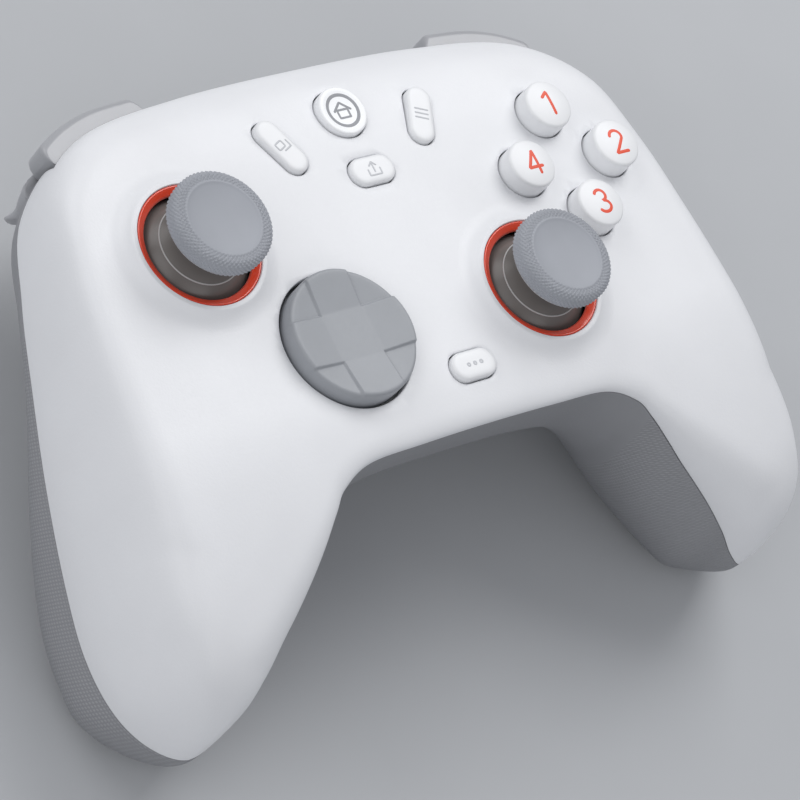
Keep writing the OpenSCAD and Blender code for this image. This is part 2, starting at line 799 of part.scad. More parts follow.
// Cross pad
dpad_pivot_z = -4.5;
ball_r = 2;
dpad_skirt = 10.6;
dpad_flange = 13.4;
dpad_foot_at = 8;
dpad_rim_z = 1.9;
dpad_mid_z = 0.8;
dpad_low_z = 0.5;
dpad_edge = 0.5;
module dpad_arm_pair() {
    translate([0, dpad_arm / 2, 0]) rotate([90, 0, 0]) linear_extrude(dpad_arm) polygon([
        [-dpad_r - 1, -1], [-dpad_r - 1, dpad_rim_z], [-dpad_r, dpad_rim_z], [-dpad_arm / 2, dpad_mid_z],
        [dpad_arm / 2, dpad_mid_z], [dpad_r, dpad_rim_z], [dpad_r + 1, dpad_rim_z], [dpad_r + 1, -1]
    ]);
}
module dpad_body_profile() {
    polygon([
        [0, -3.2], [dpad_r, -3.2], [dpad_r, dpad_rim_z - dpad_edge], [dpad_r - dpad_edge, dpad_rim_z],
        [dpad_r - dpad_edge, 3], [0, 3]
    ]);
}
module dpad() {
    place() color(RUBBER) at(dpad_at) difference() {
        union() {
            intersection() {
                rotate_extrude() dpad_body_profile();
                union() {
                    rod([0, 0], -3.2, dpad_low_z, dpad_r + 1);
                    dpad_arm_pair();
                    rotate(90) dpad_arm_pair();
                }
            }
            rod([0, 0], -7, -3, dpad_skirt);
            rod([0, 0], -7, -5.9, dpad_flange);
            for (a = [0:90:270]) rotate(a) rod([dpad_foot_at, 0], -8.6, -6.5, 1.6);
        }
        difference() {
            rod([0, 0], -9, -3.1, dpad_skirt - 1.4);
            rod([0, 0], -6, -3, 3.4);
            for (a = [0:90:270]) rotate(a) rod([dpad_foot_at, 0], -9, -3, 1.6);
        }
        translate([0, 0, dpad_pivot_z]) sphere(r = ball_r + run_gap);
        rod([0, 0], -9, dpad_pivot_z, ball_r + run_gap);
    }
}
module dpad_ball() {
    place() color(STEEL) at(dpad_at, dpad_pivot_z) sphere(r = ball_r);
}
membrane_t = 0.8;
module dpad_membrane() {
    place() color(DARK) at(dpad_at) difference() {
        union() {
            rod([0, 0], board_top, board_top + membrane_t, dpad_r);
            for (a = [0:90:270])
                rotate(a) at([dpad_foot_at, 0], board_top) cylinder(h = -9.6 - board_top, r1 = 3.4, r2 = 2.2);
            rod([0, 0], board_top, dpad_pivot_z - 0.6, ball_r - 0.3);
        }
        translate([0, 0, dpad_pivot_z]) sphere(r = ball_r + run_gap);
    }
}

// Face buttons and their rubber domes
flange_over = 1.1;
flange_t = 1;
button_flange = -5.2;
stem_r = 2.6;
stem_end = -11.8;
dome_gap = 0.05;
module face_button(p) {
    place() color(WHITE) at(p) union() {
        intersection() {
            rod([0, 0], button_flange - flange_t, button_top, button_r);
            translate([0, 0, button_top - 22]) sphere(r = 22, $fn = 96);
        }
        rod([0, 0], button_flange - flange_t, button_flange, button_r + flange_over);
        rod([0, 0], stem_end, button_flange, stem_r);
    }
}
module face_dome(p) {
    place() color(DARK) at(p) difference() {
        union() {
            rod([0, 0], board_top, board_top + membrane_t, 5.4);
            at([0, 0], board_top) cylinder(h = stem_end - dome_gap - board_top, r1 = 4.6, r2 = 2.4);
        }
        at([0, 0], board_top - EPS) cylinder(h = 3, r1 = 3.6, r2 = 2.2);
    }
}
module face_button_north() { face_button(north); }
module face_button_east() { face_button(east); }
module face_button_south() { face_button(south); }
module face_button_west() { face_button(west); }
module face_dome_north() { face_dome(north); }
module face_dome_east() { face_dome(east); }
module face_dome_south() { face_dome(south); }
module face_dome_west() { face_dome(west); }

// Small keys and their switches
key_proud = 0.9;
key_flange = -5;
key_leg_r = 1.5;
key_leg_end = board_top + 3.6;
switch_half = 2.4;
switch_h = 2;
switch_stem_r = 1.2;
module key_leg() {
    rod([0, 0], key_leg_end, key_flange, key_leg_r);
}
module pill_key(p, l, w, turn) {
    place() color(WHITE) at(p) rotate(turn) {
        slab([0, 0], key_flange - flange_t, face_z0 + key_proud) pill(l, w);
        slab([0, 0], key_flange - flange_t, key_flange) pill(l + 1.6, w + 1.6);
        key_leg();
    }
}
module view_button() { pill_key(view_at, view_l, view_w, 90 + view_lean); }
module menu_button() { pill_key(menu_at, view_l, view_w, 90 - view_lean); }
module share_button() { pill_key(share_at, pill_l, pill_w, 0); }
module mode_button() { pill_key(mode_at, pill_l, pill_w, 0); }
module home_button() {
    place() color(WHITE) at(home_at) {
        difference() {
            rod([0, 0], key_flange - flange_t - 0.6, face_z0 + key_proud, home_r);
            translate([0, 0, face_z0 + key_proud + 28 - 0.3]) sphere(r = 28, $fn = 96);
        }
        rod([0, 0], key_flange - flange_t - 0.6, key_flange - 0.6, home_r + 0.8);
        key_leg();
    }
}
module tact_switches() {
    place() color(DARK) for (p = small_keys) at(p) {
        translate([-switch_half, -switch_half, board_top]) cube([2 * switch_half, 2 * switch_half, switch_h]);
        rod([0, 0], board_top, key_leg_end - key_travel - 0.1, switch_stem_r);
    }
}

// Boards, battery and connector
board_half = [
    [0, 62.3], [7.5, 62.3], [7.5, 50], [26, 50], [36, 53.5], [43, 53], [46, 50.5], [56, 41], [58, 34], [57, 24],
    [53, 16], [36, 3], [27, -5], [0, -5]
];
module board_outline() {
    right = [for (p = board_half) [hx(p[0]), hy(p[1])]];
    left = [for (k = [len(right) - 1:-1:0]) [-right[k][0], right[k][1]]];
    polygon(concat(right, left));
}
module main_board() {
    place() color(BOARD) difference() {
        slab([0, 0], board_top - board_t, board_top) board_outline();
        for (p = board_posts) rod(p, board_top - 2 * board_t, board_top + 1, screw_r + 0.1);
    }
}
battery_y = 22;
module battery() {
    place() color(LIGHT) translate([-battery_l / 2, battery_y - battery_w / 2, panel_floor + 0.1])
        cube([battery_l, battery_w, battery_t]);
}
module usb_receptacle() {
    place() color(STEEL) translate([0, usb_face, usb_z + EPS]) rotate([90, 0, 0]) difference() {
        linear_extrude(usb_l) pill(usb_w, usb_h);
        translate([0, 0, -EPS]) linear_extrude(usb_l - 1) difference() {
            pill(usb_w - 0.6, usb_h - 0.6);
            square([6.7, 0.7], center = true);
        }
    }
}
bumper_switch_at = [hx(43), hy(50.8)];
module bumper_switches() {
    place() color(DARK) both_sides() at(bumper_switch_at, board_top) rotate(-22) {
        translate([-3, -1.3, 0]) cube([6, 2.6, 3.6]);
        translate([-1, 1, 1]) cube([2, 1.5, 1.6]);
    }
}

// Rumble motors and their weights
weight_l = 6;
weight_r = 5.8;
shaft_r = 1;
weight_gap = 1;
module rumble_motor() {
    color(STEEL) at(motor_at, motor_z) rotate([-90, 0, 0]) {
        cylinder(h = motor_l, r = motor_r);
        translate([0, 0, -weight_gap - weight_l]) cylinder(h = weight_gap + weight_l + EPS, r = shaft_r);
    }
}
module rumble_weight() {
    color(DARK) at(motor_at, motor_z) rotate([-90, 0, 0]) translate([0, 0, -weight_gap - weight_l])
        linear_extrude(weight_l) difference() {
            union() {
                intersection() {
                    circle(r = weight_r);
                    translate([-weight_r, 0]) square([2 * weight_r, weight_r]);
                }
                circle(r = 2 * shaft_r);
            }
            circle(r = shaft_r + run_gap);
        }
}
module right_rumble_motor() {
    place() rumble_motor();
}
module left_rumble_motor() {
    place() mirror([1, 0, 0]) rumble_motor();
}
module right_rumble_weight() {
    place() rumble_weight();
}
module left_rumble_weight() {
    place() mirror([1, 0, 0]) rumble_weight();
}

// Fasteners
module screw(p, seat, length) {
    rod(p, seat - head_h, seat, head_r);
    rod(p, seat - EPS, seat + length, screw_r);
}
module shell_screws() {
    place() color(STEEL) both_sides() {
        screw(grip_post, grip_split - well_floor, 10);
        screw(top_post, post_split - well_floor, 9);
    }
}
module board_screws() {
    place() color(STEEL) for (p = board_posts) screw(p, board_top - board_t, board_t + 5);
}

front_shell();
back_shell();
left_bumper();
right_bumper();
bumper_switches();
left_trigger();
right_trigger();
left_trigger_pin();
right_trigger_pin();
left_trigger_spring();
right_trigger_spring();
left_stick_cap();
right_stick_cap();
left_stick_lever();
right_stick_lever();
left_stick_hub();
right_stick_hub();
left_stick_yoke();
right_stick_yoke();
left_stick_housing();
right_stick_housing();
left_stick_ring();
right_stick_ring();
dpad();
dpad_ball();
dpad_membrane();
face_button_north();
face_button_east();
face_button_south();
face_button_west();
face_dome_north();
face_dome_east();
face_dome_south();
face_dome_west();
view_button();
menu_button();
share_button();
mode_button();
home_button();
tact_switches();
main_board();
battery();
usb_receptacle();
left_rumble_motor();
right_rumble_motor();
left_rumble_weight();
right_rumble_weight();
shell_screws();
board_screws();
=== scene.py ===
"""Looks of a gamepad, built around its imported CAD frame."""

import math

import bmesh
import bpy
import numpy as np
from mathutils import Matrix, Vector
from mathutils.bvhtree import BVHTree
from mathutils.geometry import delaunay_2d_cdt


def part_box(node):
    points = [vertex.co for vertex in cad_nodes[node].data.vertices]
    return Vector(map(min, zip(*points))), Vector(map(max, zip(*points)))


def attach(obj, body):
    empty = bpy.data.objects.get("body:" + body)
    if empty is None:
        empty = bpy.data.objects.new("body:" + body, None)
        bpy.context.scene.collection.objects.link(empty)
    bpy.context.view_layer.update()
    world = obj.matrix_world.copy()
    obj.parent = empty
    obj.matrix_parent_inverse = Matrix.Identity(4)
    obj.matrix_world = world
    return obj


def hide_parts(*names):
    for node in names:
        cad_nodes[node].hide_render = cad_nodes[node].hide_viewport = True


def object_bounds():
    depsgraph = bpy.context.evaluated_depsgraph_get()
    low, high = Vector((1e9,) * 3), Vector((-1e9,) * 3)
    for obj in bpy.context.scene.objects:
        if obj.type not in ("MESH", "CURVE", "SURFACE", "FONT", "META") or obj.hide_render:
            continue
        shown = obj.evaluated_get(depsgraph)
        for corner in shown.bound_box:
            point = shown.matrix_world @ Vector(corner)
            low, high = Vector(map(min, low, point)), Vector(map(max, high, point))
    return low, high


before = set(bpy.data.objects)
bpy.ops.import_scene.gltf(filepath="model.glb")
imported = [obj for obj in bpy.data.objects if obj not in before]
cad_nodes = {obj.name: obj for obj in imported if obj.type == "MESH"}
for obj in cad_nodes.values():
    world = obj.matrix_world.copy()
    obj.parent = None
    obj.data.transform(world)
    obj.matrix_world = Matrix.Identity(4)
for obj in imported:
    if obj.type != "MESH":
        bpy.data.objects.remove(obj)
cad_low, cad_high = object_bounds()

# Places on the face, in millimetres from the layout datum, with z = 0 at the stick rings.
LEFT_STICK = (-41.5, 32.6)
RIGHT_STICK = (22.0, 11.2)
DPAD = (-22.0, 10.2)
DPAD_BALL_Z = -4.5
FACE_CENTRE = (41.5, 31.6)
FACE_PITCH = 10.3
VIEW = (-15.7, 46.7)
MENU = (15.7, 46.7)
VIEW_TURN = 24
SHARE = (0.0, 38.7)
MODE = (0.0, -0.2)
HOME = (0.0, 50.6)
LONG_KEY, SHORT_KEY, KEY_GAP = (11.5, 5.0), (9.5, 5.3), 0.5
BUTTON_HOLE_R, DPAD_HOLE_R = 5.05, 12.65
KEY_PLACES = {
    "view_button": (VIEW, LONG_KEY, 90 + VIEW_TURN),
    "menu_button": (MENU, LONG_KEY, 90 - VIEW_TURN),
    "share_button": (SHARE, SHORT_KEY, 0),
    "mode_button": (MODE, SHORT_KEY, 0),
}
MM = 0.001

ball_low, ball_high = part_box("dpad_ball")
ball_centre = np.array((ball_low + ball_high) / 2) / MM
OFFSET = ball_centre - np.array([DPAD[0], DPAD[1], DPAD_BALL_Z])


def smooth(t):
    c = np.clip(t, 0, 1)
    return c * c * (3 - 2 * c)


def mix(a, b, t):
    return a + (b - a) * t


def unit(rows):
    return rows / np.maximum(np.linalg.norm(rows, axis=1, keepdims=True), 1e-12)


# Meshes


def placed(name, data):
    obj = bpy.data.objects.new(name, data)
    bpy.context.scene.collection.objects.link(obj)
    return obj


def raw_mesh(name, solid):
    verts, faces = solid[0], solid[1]
    mesh = bpy.data.meshes.new(name)
    mesh.from_pydata(np.asarray(verts, float).tolist(), [], [tuple(int(i) for i in f) for f in faces])
    if len(solid) > 2:
        mesh.polygons.foreach_set("material_index", np.asarray(solid[2], np.int32))
    bm = bmesh.new()
    bm.from_mesh(mesh)
    bmesh.ops.recalc_face_normals(bm, faces=bm.faces)
    bm.to_mesh(mesh)
    bm.free()
    return mesh


def join(*solids):
    """One solid from several; a solid is (points, faces) or (points, faces, material numbers)."""
    verts, faces, mats, start = [], [], [], 0
    for s in solids:
        verts.append(np.asarray(s[0], float).reshape(-1, 3))
        faces += [tuple(i + start for i in f) for f in s[1]]
        mats += list(s[2]) if len(s) > 2 else [0] * len(s[1])
        start += len(verts[-1])
    return np.vstack(verts), faces, mats


def painted(solid, number):
    return solid[0], solid[1], [number] * len(solid[1])


def mirrored(solid):
    return (np.asarray(solid[0]) * [-1, 1, 1],) + tuple(solid[1:])


def carve(solid, tools, operation="DIFFERENCE"):
    """A solid less all of the tools, or with operation UNION joined to them."""
    base = placed("carved", raw_mesh("carved", solid))
    helpers = [placed("tool", raw_mesh("tool", tool)) for tool in tools]
    for helper in helpers:
        modifier = base.modifiers.new("cut", "BOOLEAN")
        modifier.operation = operation
        modifier.object = helper
        modifier.solver = "MANIFOLD"
    done = base.evaluated_get(bpy.context.evaluated_depsgraph_get())
    mesh = done.to_mesh()
    points = np.zeros(len(mesh.vertices) * 3)
    mesh.vertices.foreach_get("co", points)
    faces = [tuple(p.vertices) for p in mesh.polygons]
    done.to_mesh_clear()
    for o in helpers + [base]:
        data = o.data
        bpy.data.objects.remove(o)
        bpy.data.meshes.remove(data)
    return points.reshape(-1, 3), faces


def piece(name, solid, looks, body, replaces=(), sharp=35, finish=None):
    """A visible piece in one look or several, which rides on a body and may replace CAD nodes."""
    mesh = raw_mesh(name, solid)
    mesh.shade_smooth()
    mesh.set_sharp_from_angle(angle=math.radians(sharp))
    if finish:
        finish(mesh)
    mesh.transform(Matrix.Scale(MM, 4) @ Matrix.Translation(Vector(OFFSET)))
    mesh.update()
    for look in looks if isinstance(looks, list) else [looks]:
        mesh.materials.append(LOOKS[look])
    obj = placed(name, mesh)
    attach(obj, body)
    if replaces:
        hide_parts(*replaces)


def pair(name, solid, look, node, sharp=35):
    """A piece on the right and its mirror image on the left."""
    for side, form in (("right", solid), ("left", mirrored(solid))):
        piece(f"{side}_{name}", form, look, f"{side}_{node}", [f"{side}_{node}"], sharp)


def strip_faces(rows, cols, wrap_rows=False, wrap_cols=False):
    faces = []
    for r in range(rows if wrap_rows else rows - 1):
        for c in range(cols if wrap_cols else cols - 1):
            a, b = r * cols, (r + 1) % rows * cols
            d = (c + 1) % cols
            faces.append((a + c, b + c, b + d, a + d))
    return faces


def tube(rings, close=False):
    """A closed solid from rings of equal length; with close the last ring joins the first."""
    rings = np.asarray(rings, float)
    rows, cols = rings.shape[:2]
    faces = strip_faces(rows, cols, wrap_rows=close, wrap_cols=True)
    if not close:
        faces += [tuple(range(cols))[::-1], tuple(range((rows - 1) * cols, rows * cols))]
    return rings.reshape(-1, 3), faces


def circle(radius, steps):
    a = 2 * np.pi * np.arange(steps) / steps
    return np.stack([radius * np.cos(a), radius * np.sin(a)], axis=1)


def arc(cx, cy, rx, ry, a0, a1, steps=18):
    a = np.radians(np.linspace(a0, a1, steps))
    return np.column_stack([cx + rx * np.cos(a), cy + ry * np.sin(a)])


def box_corners(x0, y0, x1, y1):
    return [(x0, y0), (x1, y0), (x1, y1), (x0, y1)]


def lathe(profile, centre=(0, 0), steps=96):
    """A turned solid; a profile that starts and ends on the axis is closed there, others are joined up."""
    verts, rows = [], []
    for r, z in profile:
        ring = circle(r, steps) if r > 1e-6 else [(0, 0)]
        rows.append(range(len(verts), len(verts) + len(ring)))
        verts += [(centre[0] + x, centre[1] + y, z) for x, y in ring]
    pairs = list(zip(rows, rows[1:]))
    if len(rows[0]) > 1 and len(rows[-1]) > 1:
        pairs.append((rows[-1], rows[0]))
    faces = []
    for a, b in pairs:
        for k in range(steps if len(a) + len(b) > 2 else 0):
            n = k + 1
            quad = (a[k % len(a)], b[k % len(b)], b[n % len(b)], a[n % len(a)])
            faces.append(tuple(dict.fromkeys(quad)))
    return np.array(verts), faces


def eased(points, radii, steps=5, closed=False):
    """A path with its corners rounded to the given radii."""
    points = [np.array(p, float) for p in points]
    out = []
    for k, (p, r) in enumerate(zip(points, radii)):
        at_end = not closed and k in (0, len(points) - 1)
        if r <= 0 or at_end:
            out.append(p)
            continue
        a, b = points[k - 1] - p, points[(k + 1) % len(points)] - p
        la, lb = np.linalg.norm(a), np.linalg.norm(b)
        a, b = a / la, b / lb
        half = 0.5 * math.acos(np.clip(a @ b, -1, 1))
        d = min(r / math.tan(half), 0.49 * la, 0.49 * lb)
        mid = a + b
        centre = p + mid / np.linalg.norm(mid) * d / math.cos(half)
        v0, v1 = p + a * d - centre, p + b * d - centre
        turn = math.atan2(v0[0] * v1[1] - v0[1] * v1[0], v0 @ v1)
        for j in range(steps + 1):
            t = turn * j / steps
            c, s = math.cos(t), math.sin(t)
            out.append(centre + np.array([v0[0] * c - v0[1] * s, v0[0] * s + v0[1] * c]))
    return np.array(out)


def stadium(length, width, steps=48):
    """The outline of a pill, as many points as steps, evenly round its two ends."""
    half = steps // 2
    a = np.pi * (np.arange(half) / (half - 1) - 0.5)
    end = np.stack([np.cos(a), np.sin(a)], axis=1) * width / 2
    straight = np.array([(length - width) / 2, 0])
    return np.vstack([end + straight, -end - straight])


def turned(points, degrees, centre=(0, 0)):
    c, s = math.cos(math.radians(degrees)), math.sin(math.radians(degrees))
    return np.asarray(points) @ np.array([[c, s], [-s, c]]) + np.array(centre)


def level(points, z):
    points = np.asarray(points)
    return np.column_stack([points, np.broadcast_to(z, len(points))])


def moved(solid, centre, z=0):
    return (np.asarray(solid[0]) + np.array([*centre, z]),) + tuple(solid[1:])


def looped(path):
    return np.vstack([path, path[:1]])


def path_runs(path):
    """The length along a path at each of its points."""
    return np.concatenate([[0], np.cumsum(np.linalg.norm(np.diff(path, axis=0), axis=1))])


def path_at(path, s):
    """The points of a path at the lengths s along it."""
    return np.stack([np.interp(s, path_runs(path), path[:, k]) for k in range(2)], axis=1)


# The moulded housing: ribs from the outer seam over the surface to the inner seam. A station on a seam has
# its x, y and z, the width of the rounded edge in front and at the back, and how far the side swells.
OUTER = np.array([
    [0, 64, -11, 9, 10, 0], [26, 63.6, -12, 10, 10, 0], [47.2, 60.7, -14, 9, 11, 0],
    [60.2, 51.4, -17, 9, 13, 0], [65.4, 38, -20, 9.5, 14, 0], [68.8, 24, -23.5, 11.5, 14, 1.2],
    [72.2, 8, -27.5, 13.5, 14, 2.8], [74.9, -8, -31, 16, 14, 3.6], [76, -20, -33.3, 21, 13, 3.8],
    [74.6, -30, -34.8, 21, 13, 4.2], [70.4, -37.3, -35.8, 18, 12, 3],
])
INNER = np.array([
    [0, -10.3, -4.6, 4, 10, 0], [15, -10.5, -4.6, 4, 10, 0], [27, -11, -4.8, 4, 10, 1],
    [33.5, -13.8, -5.9, 4.5, 12, 2.5], [36.4, -17, -7.6, 4.5, 13, 3.5], [39.8, -21.2, -10.6, 5, 14, 4],
    [43, -24.9, -13.7, 6, 14, 4], [46.9, -28.9, -17.2, 7, 14, 4], [50.8, -32.6, -21, 8, 13, 4],
    [54.9, -36.8, -25.6, 10, 12, 3], [59, -39.9, -30.8, 12, 12, 2],
])
TIP = np.array([64.5, -41.3, -35.5, 15, 12, 2])
MIRROR = np.array([-1, 1, 1, 1, 1, 1])
STATIONS = len(OUTER)
WALL, LIP, TRIM, SEAM_GAP = 2.2, 0.22, 0.32, 0.2
FULLNESS = {True: 2.9, False: 2.1}  # of the front, and of the back
TIP_ROUND = {True: 16, False: 12}
FRONT_LEAN = 0.6
TIP_CALM = 12
RIBS_PER_STATION, TIP_RIBS = 9, 9
TIP_END, TIP_CROWDING = 0.995, 2.2
EDGE_STEPS, FLAT_STEPS = 14, 26
EDGE_SHARE = 0.48
# How deep the face falls to the sides, the grips and the top edge, from where and over what length.
FACE_Z = -1.5
SIDE_FALL, GRIP_FALL, TOP_FALL = (3, 34, 43), (12, -2, 42), (4, 44, 20)
GRIP_FALL_POWER = 1.8
BACK_Z, GRIP_DROP = -28, 20


def fall(rule, place, power=2):
    depth, start, length = rule
    return depth * np.maximum((place - start) / length, 0) ** power


def face_z(x, y):
    return FACE_Z - fall(SIDE_FALL, np.abs(x)) - fall(GRIP_FALL, -y, GRIP_FALL_POWER) - fall(TOP_FALL, y)


def back_z(x, y):
    return BACK_Z - GRIP_DROP * smooth((np.abs(x) - 24) / 34) * smooth((34 - y) / 50)


def inset_stations(own, other, inset, hand):
    s = np.vstack([own, TIP])
    line = np.vstack([s[1] * MIRROR, s, other[-1]])
    t = unit(line[2:, :2] - line[:-2, :2])
    out = s.copy()
    out[:, 0] += hand * inset * t[:, 1]
    out[:, 1] -= hand * inset * t[:, 0]
    out[:, 3:5] = np.maximum(out[:, 3:5] - inset, 1)
    return out


def seam_lines(inset):
    o = inset_stations(OUTER, INNER, inset, 1)
    i = inset_stations(INNER, OUTER, inset, -1)
    return (np.vstack([o[1] * MIRROR, o, i[STATIONS - 1]]),
            np.vstack([i[1] * MIRROR, i, o[STATIONS - 1]]))


def along(line, q):
    q = np.asarray(q, float)
    k = np.minimum(np.floor(q).astype(int), STATIONS - 1)
    t = (q - k)[..., None]
    a, b, c, d = (line[k + j] for j in range(4))
    return 0.5 * (2 * b + (c - a) * t + (2 * a - 5 * b + 4 * c - d) * t ** 2 + (3 * b - a - 3 * c + d) * t ** 3)


def rib_places():
    """Where the ribs stand: even along the stations, and closer where the grip tips round off."""
    even = np.arange(0, (STATIONS - 1) * RIBS_PER_STATION + 1) / RIBS_PER_STATION
    last = STATIONS - 1 + TIP_END * (1 - (1 - np.arange(1, TIP_RIBS + 1) / TIP_RIBS) ** TIP_CROWDING)
    return np.concatenate([even, last])


def skin(front, inset, lip):
    """Points of one skin as a grid of ribs for the right half, and its tip."""
    outer, inner = seam_lines(inset + TRIM)
    q = rib_places()
    o, i = along(outer, q), along(inner, q)
    span = i[:, :2] - o[:, :2]
    length = np.linalg.norm(span, axis=1, keepdims=True)
    u = span / length
    n = FULLNESS[front]
    width = slice(3, 4) if front else slice(4, 5)
    wo, wi = (np.minimum(end[:, width], EDGE_SHARE * length) for end in (o, i))
    tip = outer[STATIONS + 1]
    reach = np.linalg.norm((o[:, :2] + i[:, :2]) / 2 - tip[:2], axis=1, keepdims=True)
    swell = smooth(reach / TIP_CALM)
    bo = (-FRONT_LEAN if front else 1) * swell * o[:, 5:]
    bi = (0 if front else 1) * swell * i[:, 5:]
    f = (1 - (1 - np.minimum(reach / (TIP_ROUND[front] - inset), 1)) ** n) ** (1 / n)
    phi = np.radians(90 * np.arange(EDGE_STEPS + 1) / EDGE_STEPS)
    edge_s, edge_h, edge_b = 1 - np.cos(phi) ** (2 / n), np.sin(phi) ** (2 / n), np.sin(2 * phi)
    flat = np.arange(1, FLAT_STEPS) / FLAT_STEPS
    s = np.hstack([wo * edge_s, mix(wo, length - wi, flat), length - wi * edge_s[::-1]])
    out = np.hstack([-bo * edge_b, 0 * length * flat, bi * edge_b[::-1]])
    h = f * np.concatenate([edge_h, np.ones_like(flat), edge_h[::-1]])
    x, y = (o[:, k:k + 1] + u[:, k:k + 1] * (s + out) for k in range(2))
    low = mix(o[:, 2:3], i[:, 2:3], s / length) - (0 if front else SEAM_GAP)
    high = face_z(x, y) - inset if front else back_z(x, y) + inset
    grid = np.stack([x, y, mix(low, high, h)], axis=2)
    if lip > 0:
        grid = np.concatenate([lip_points(grid[:, 0], grid[:, 1], u, lip, front),
                               grid[:, 1:-1],
                               lip_points(grid[:, -1], grid[:, -2], -u, lip, front)[:, ::-1]], axis=1)
    return grid, np.array([tip[0], tip[1], tip[2] - (0 if front else SEAM_GAP)])


def lip_points(edge, above, u, lip, front):
    """The small round that takes the sharp edge off a shell along the seam."""
    size = np.minimum(lip, 0.45 * np.abs(above[:, 2] - edge[:, 2]))
    rows = []
    for a in np.radians([0, 35, 65, 90]):
        p = edge.copy()
        p[:, :2] += u * (size * (1 - math.sin(a)))[:, None]
        p[:, 2] += (1 if front else -1) * size * (1 - math.cos(a))
        rows.append(p)
    return np.stack(rows, axis=1)


def whole_skin(front, inset, lip):
    grid, tip = skin(front, inset, lip)
    flip = np.array([-1, 1, 1])
    both = np.concatenate([grid[:0:-1] * flip, grid])
    rows, cols = both.shape[:2]
    points = np.vstack([both.reshape(-1, 3), tip * flip, tip])
    left, right, last = rows * cols, rows * cols + 1, (rows - 1) * cols
    faces = strip_faces(rows, cols)
    faces += [(c + 1, c, left) for c in range(cols - 1)]
    faces += [(last + c, last + c + 1, right) for c in range(cols - 1)]
    rims = [[left] + [r * cols + c for r in range(rows)] + [right] for c in (0, cols - 1)]
    return points, faces, rims, both


def housing_shell(front):
    points, faces, rims, grid = whole_skin(front, 0, LIP)
    inner, inner_faces, inner_rims, _ = whole_skin(front, WALL, 0)
    start = len(points)
    solid = list(faces) + [tuple(k + start for k in f[::-1]) for f in inner_faces]
    for a, b in zip(rims, inner_rims):
        solid += [(a[k], a[k + 1], b[k + 1] + start, b[k] + start) for k in range(len(a) - 1)]
    return (np.vstack([points, inner]), solid), Skin(points, faces, grid)


class Skin:
    """The uncut outer surface, which gives the cut one its smooth normals and its texture places."""

    GRIP_AXIS = np.array([0.21, -0.93, -0.29])

    def __init__(self, points, faces, grid):
        self.points = points
        self.tris = [(f[0], f[k], f[k + 1]) for f in faces for k in range(1, len(f) - 1)]
        tris = np.array(self.tris)
        a, b, c = (points[tris[:, k]] for k in range(3))
        normals = np.zeros_like(points)
        for k in range(3):
            np.add.at(normals, tris[:, k], np.cross(b - a, c - a))
        self.normals = unit(normals)
        self.run = np.concatenate([path_runs(rib) for rib in grid] + [[0, 0]])
        self.tree = BVHTree.FromPolygons([tuple(p) for p in points], self.tris)

    def look_up(self, p, reach):
        place, _, index, _ = self.tree.find_nearest(Vector(p), reach)
        if place is None:
            return None
        t = self.tris[index]
        a, b, c = (self.points[k] for k in t)
        place = np.array(place)
        v0, v1, v2 = b - a, c - a, place - a
        d00, d01, d11, d20, d21 = v0 @ v0, v0 @ v1, v1 @ v1, v2 @ v0, v2 @ v1
        scale = d00 * d11 - d01 * d01
        if scale < 1e-18:
            weights = np.array([1.0, 0, 0])
        else:
            v, w = (d11 * d20 - d01 * d21) / scale, (d00 * d21 - d01 * d20) / scale
            weights = np.array([1 - v - w, v, w])
        n = weights @ self.normals[list(t)]
        size = np.linalg.norm(n)
        if size < 1e-9:
            return None
        return n / size, weights @ self.run[list(t)]


SKIN_NEAR, SKIN_AGREE = 0.02, math.cos(math.radians(38))
UV_SCALE = 0.1


def skin_finish(surface, collars=()):
    """Gives a cut shell the normals of its uncut skin, and a map of where its texture lies."""

    def finish(mesh):
        points = np.array([v.co for v in mesh.vertices])
        found = [surface.look_up(p, SKIN_NEAR) for p in points]
        rings = [collar_normal(p, collars) for p in points]
        custom = np.zeros((len(mesh.loops), 3))
        uv = np.zeros((len(mesh.loops), 2))
        for poly in mesh.polygons:
            face = np.array(poly.normal)
            for k in poly.loop_indices:
                v = mesh.loops[k].vertex_index
                p = points[v]
                axis = Skin.GRIP_AXIS * [math.copysign(1, p[0]), 1, 1]
                uv[k] = (found[v][1] if found[v] else 0, p @ axis)
                if rings[v] is not None and rings[v] @ face > SKIN_AGREE:
                    custom[k] = rings[v]
                elif found[v] and found[v][0] @ face > SKIN_AGREE:
                    custom[k] = found[v][0]
        layer = mesh.uv_layers.new(name="surface")
        layer.data.foreach_set("uv", (uv * UV_SCALE).reshape(-1))
        mesh.normals_split_custom_set(custom.tolist())

    return finish


# Raised collars round the sticks: a turned rim that flows out into the face.
COLLAR_IN, COLLAR_CREST, COLLAR_OUT = 10.4, 12.2, 16.4
COLLAR_END, COLLAR_FOOT = 0.94, 0.9
COLLAR_POWER, COLLAR_EASE, COLLAR_FADE = 2.6, 0.105, 6
COLLAR_NEAR = 0.03


def collar_height(r):
    """Share of the way from the face up to the ring plane."""
    t = (r - COLLAR_CREST) / (COLLAR_OUT - COLLAR_CREST)
    t = np.where(t > 0, t * t / (t + COLLAR_EASE * np.exp(-COLLAR_FADE * t)), 0)
    return np.clip(1 - t, 0, 1) ** COLLAR_POWER


def collar_point(centre, r, a):
    x, y = centre[0] + r * np.cos(a), centre[1] + r * np.sin(a)
    base = face_z(x, y)
    return np.stack([x, y, mix(base, 0 * base, collar_height(r))], axis=-1)


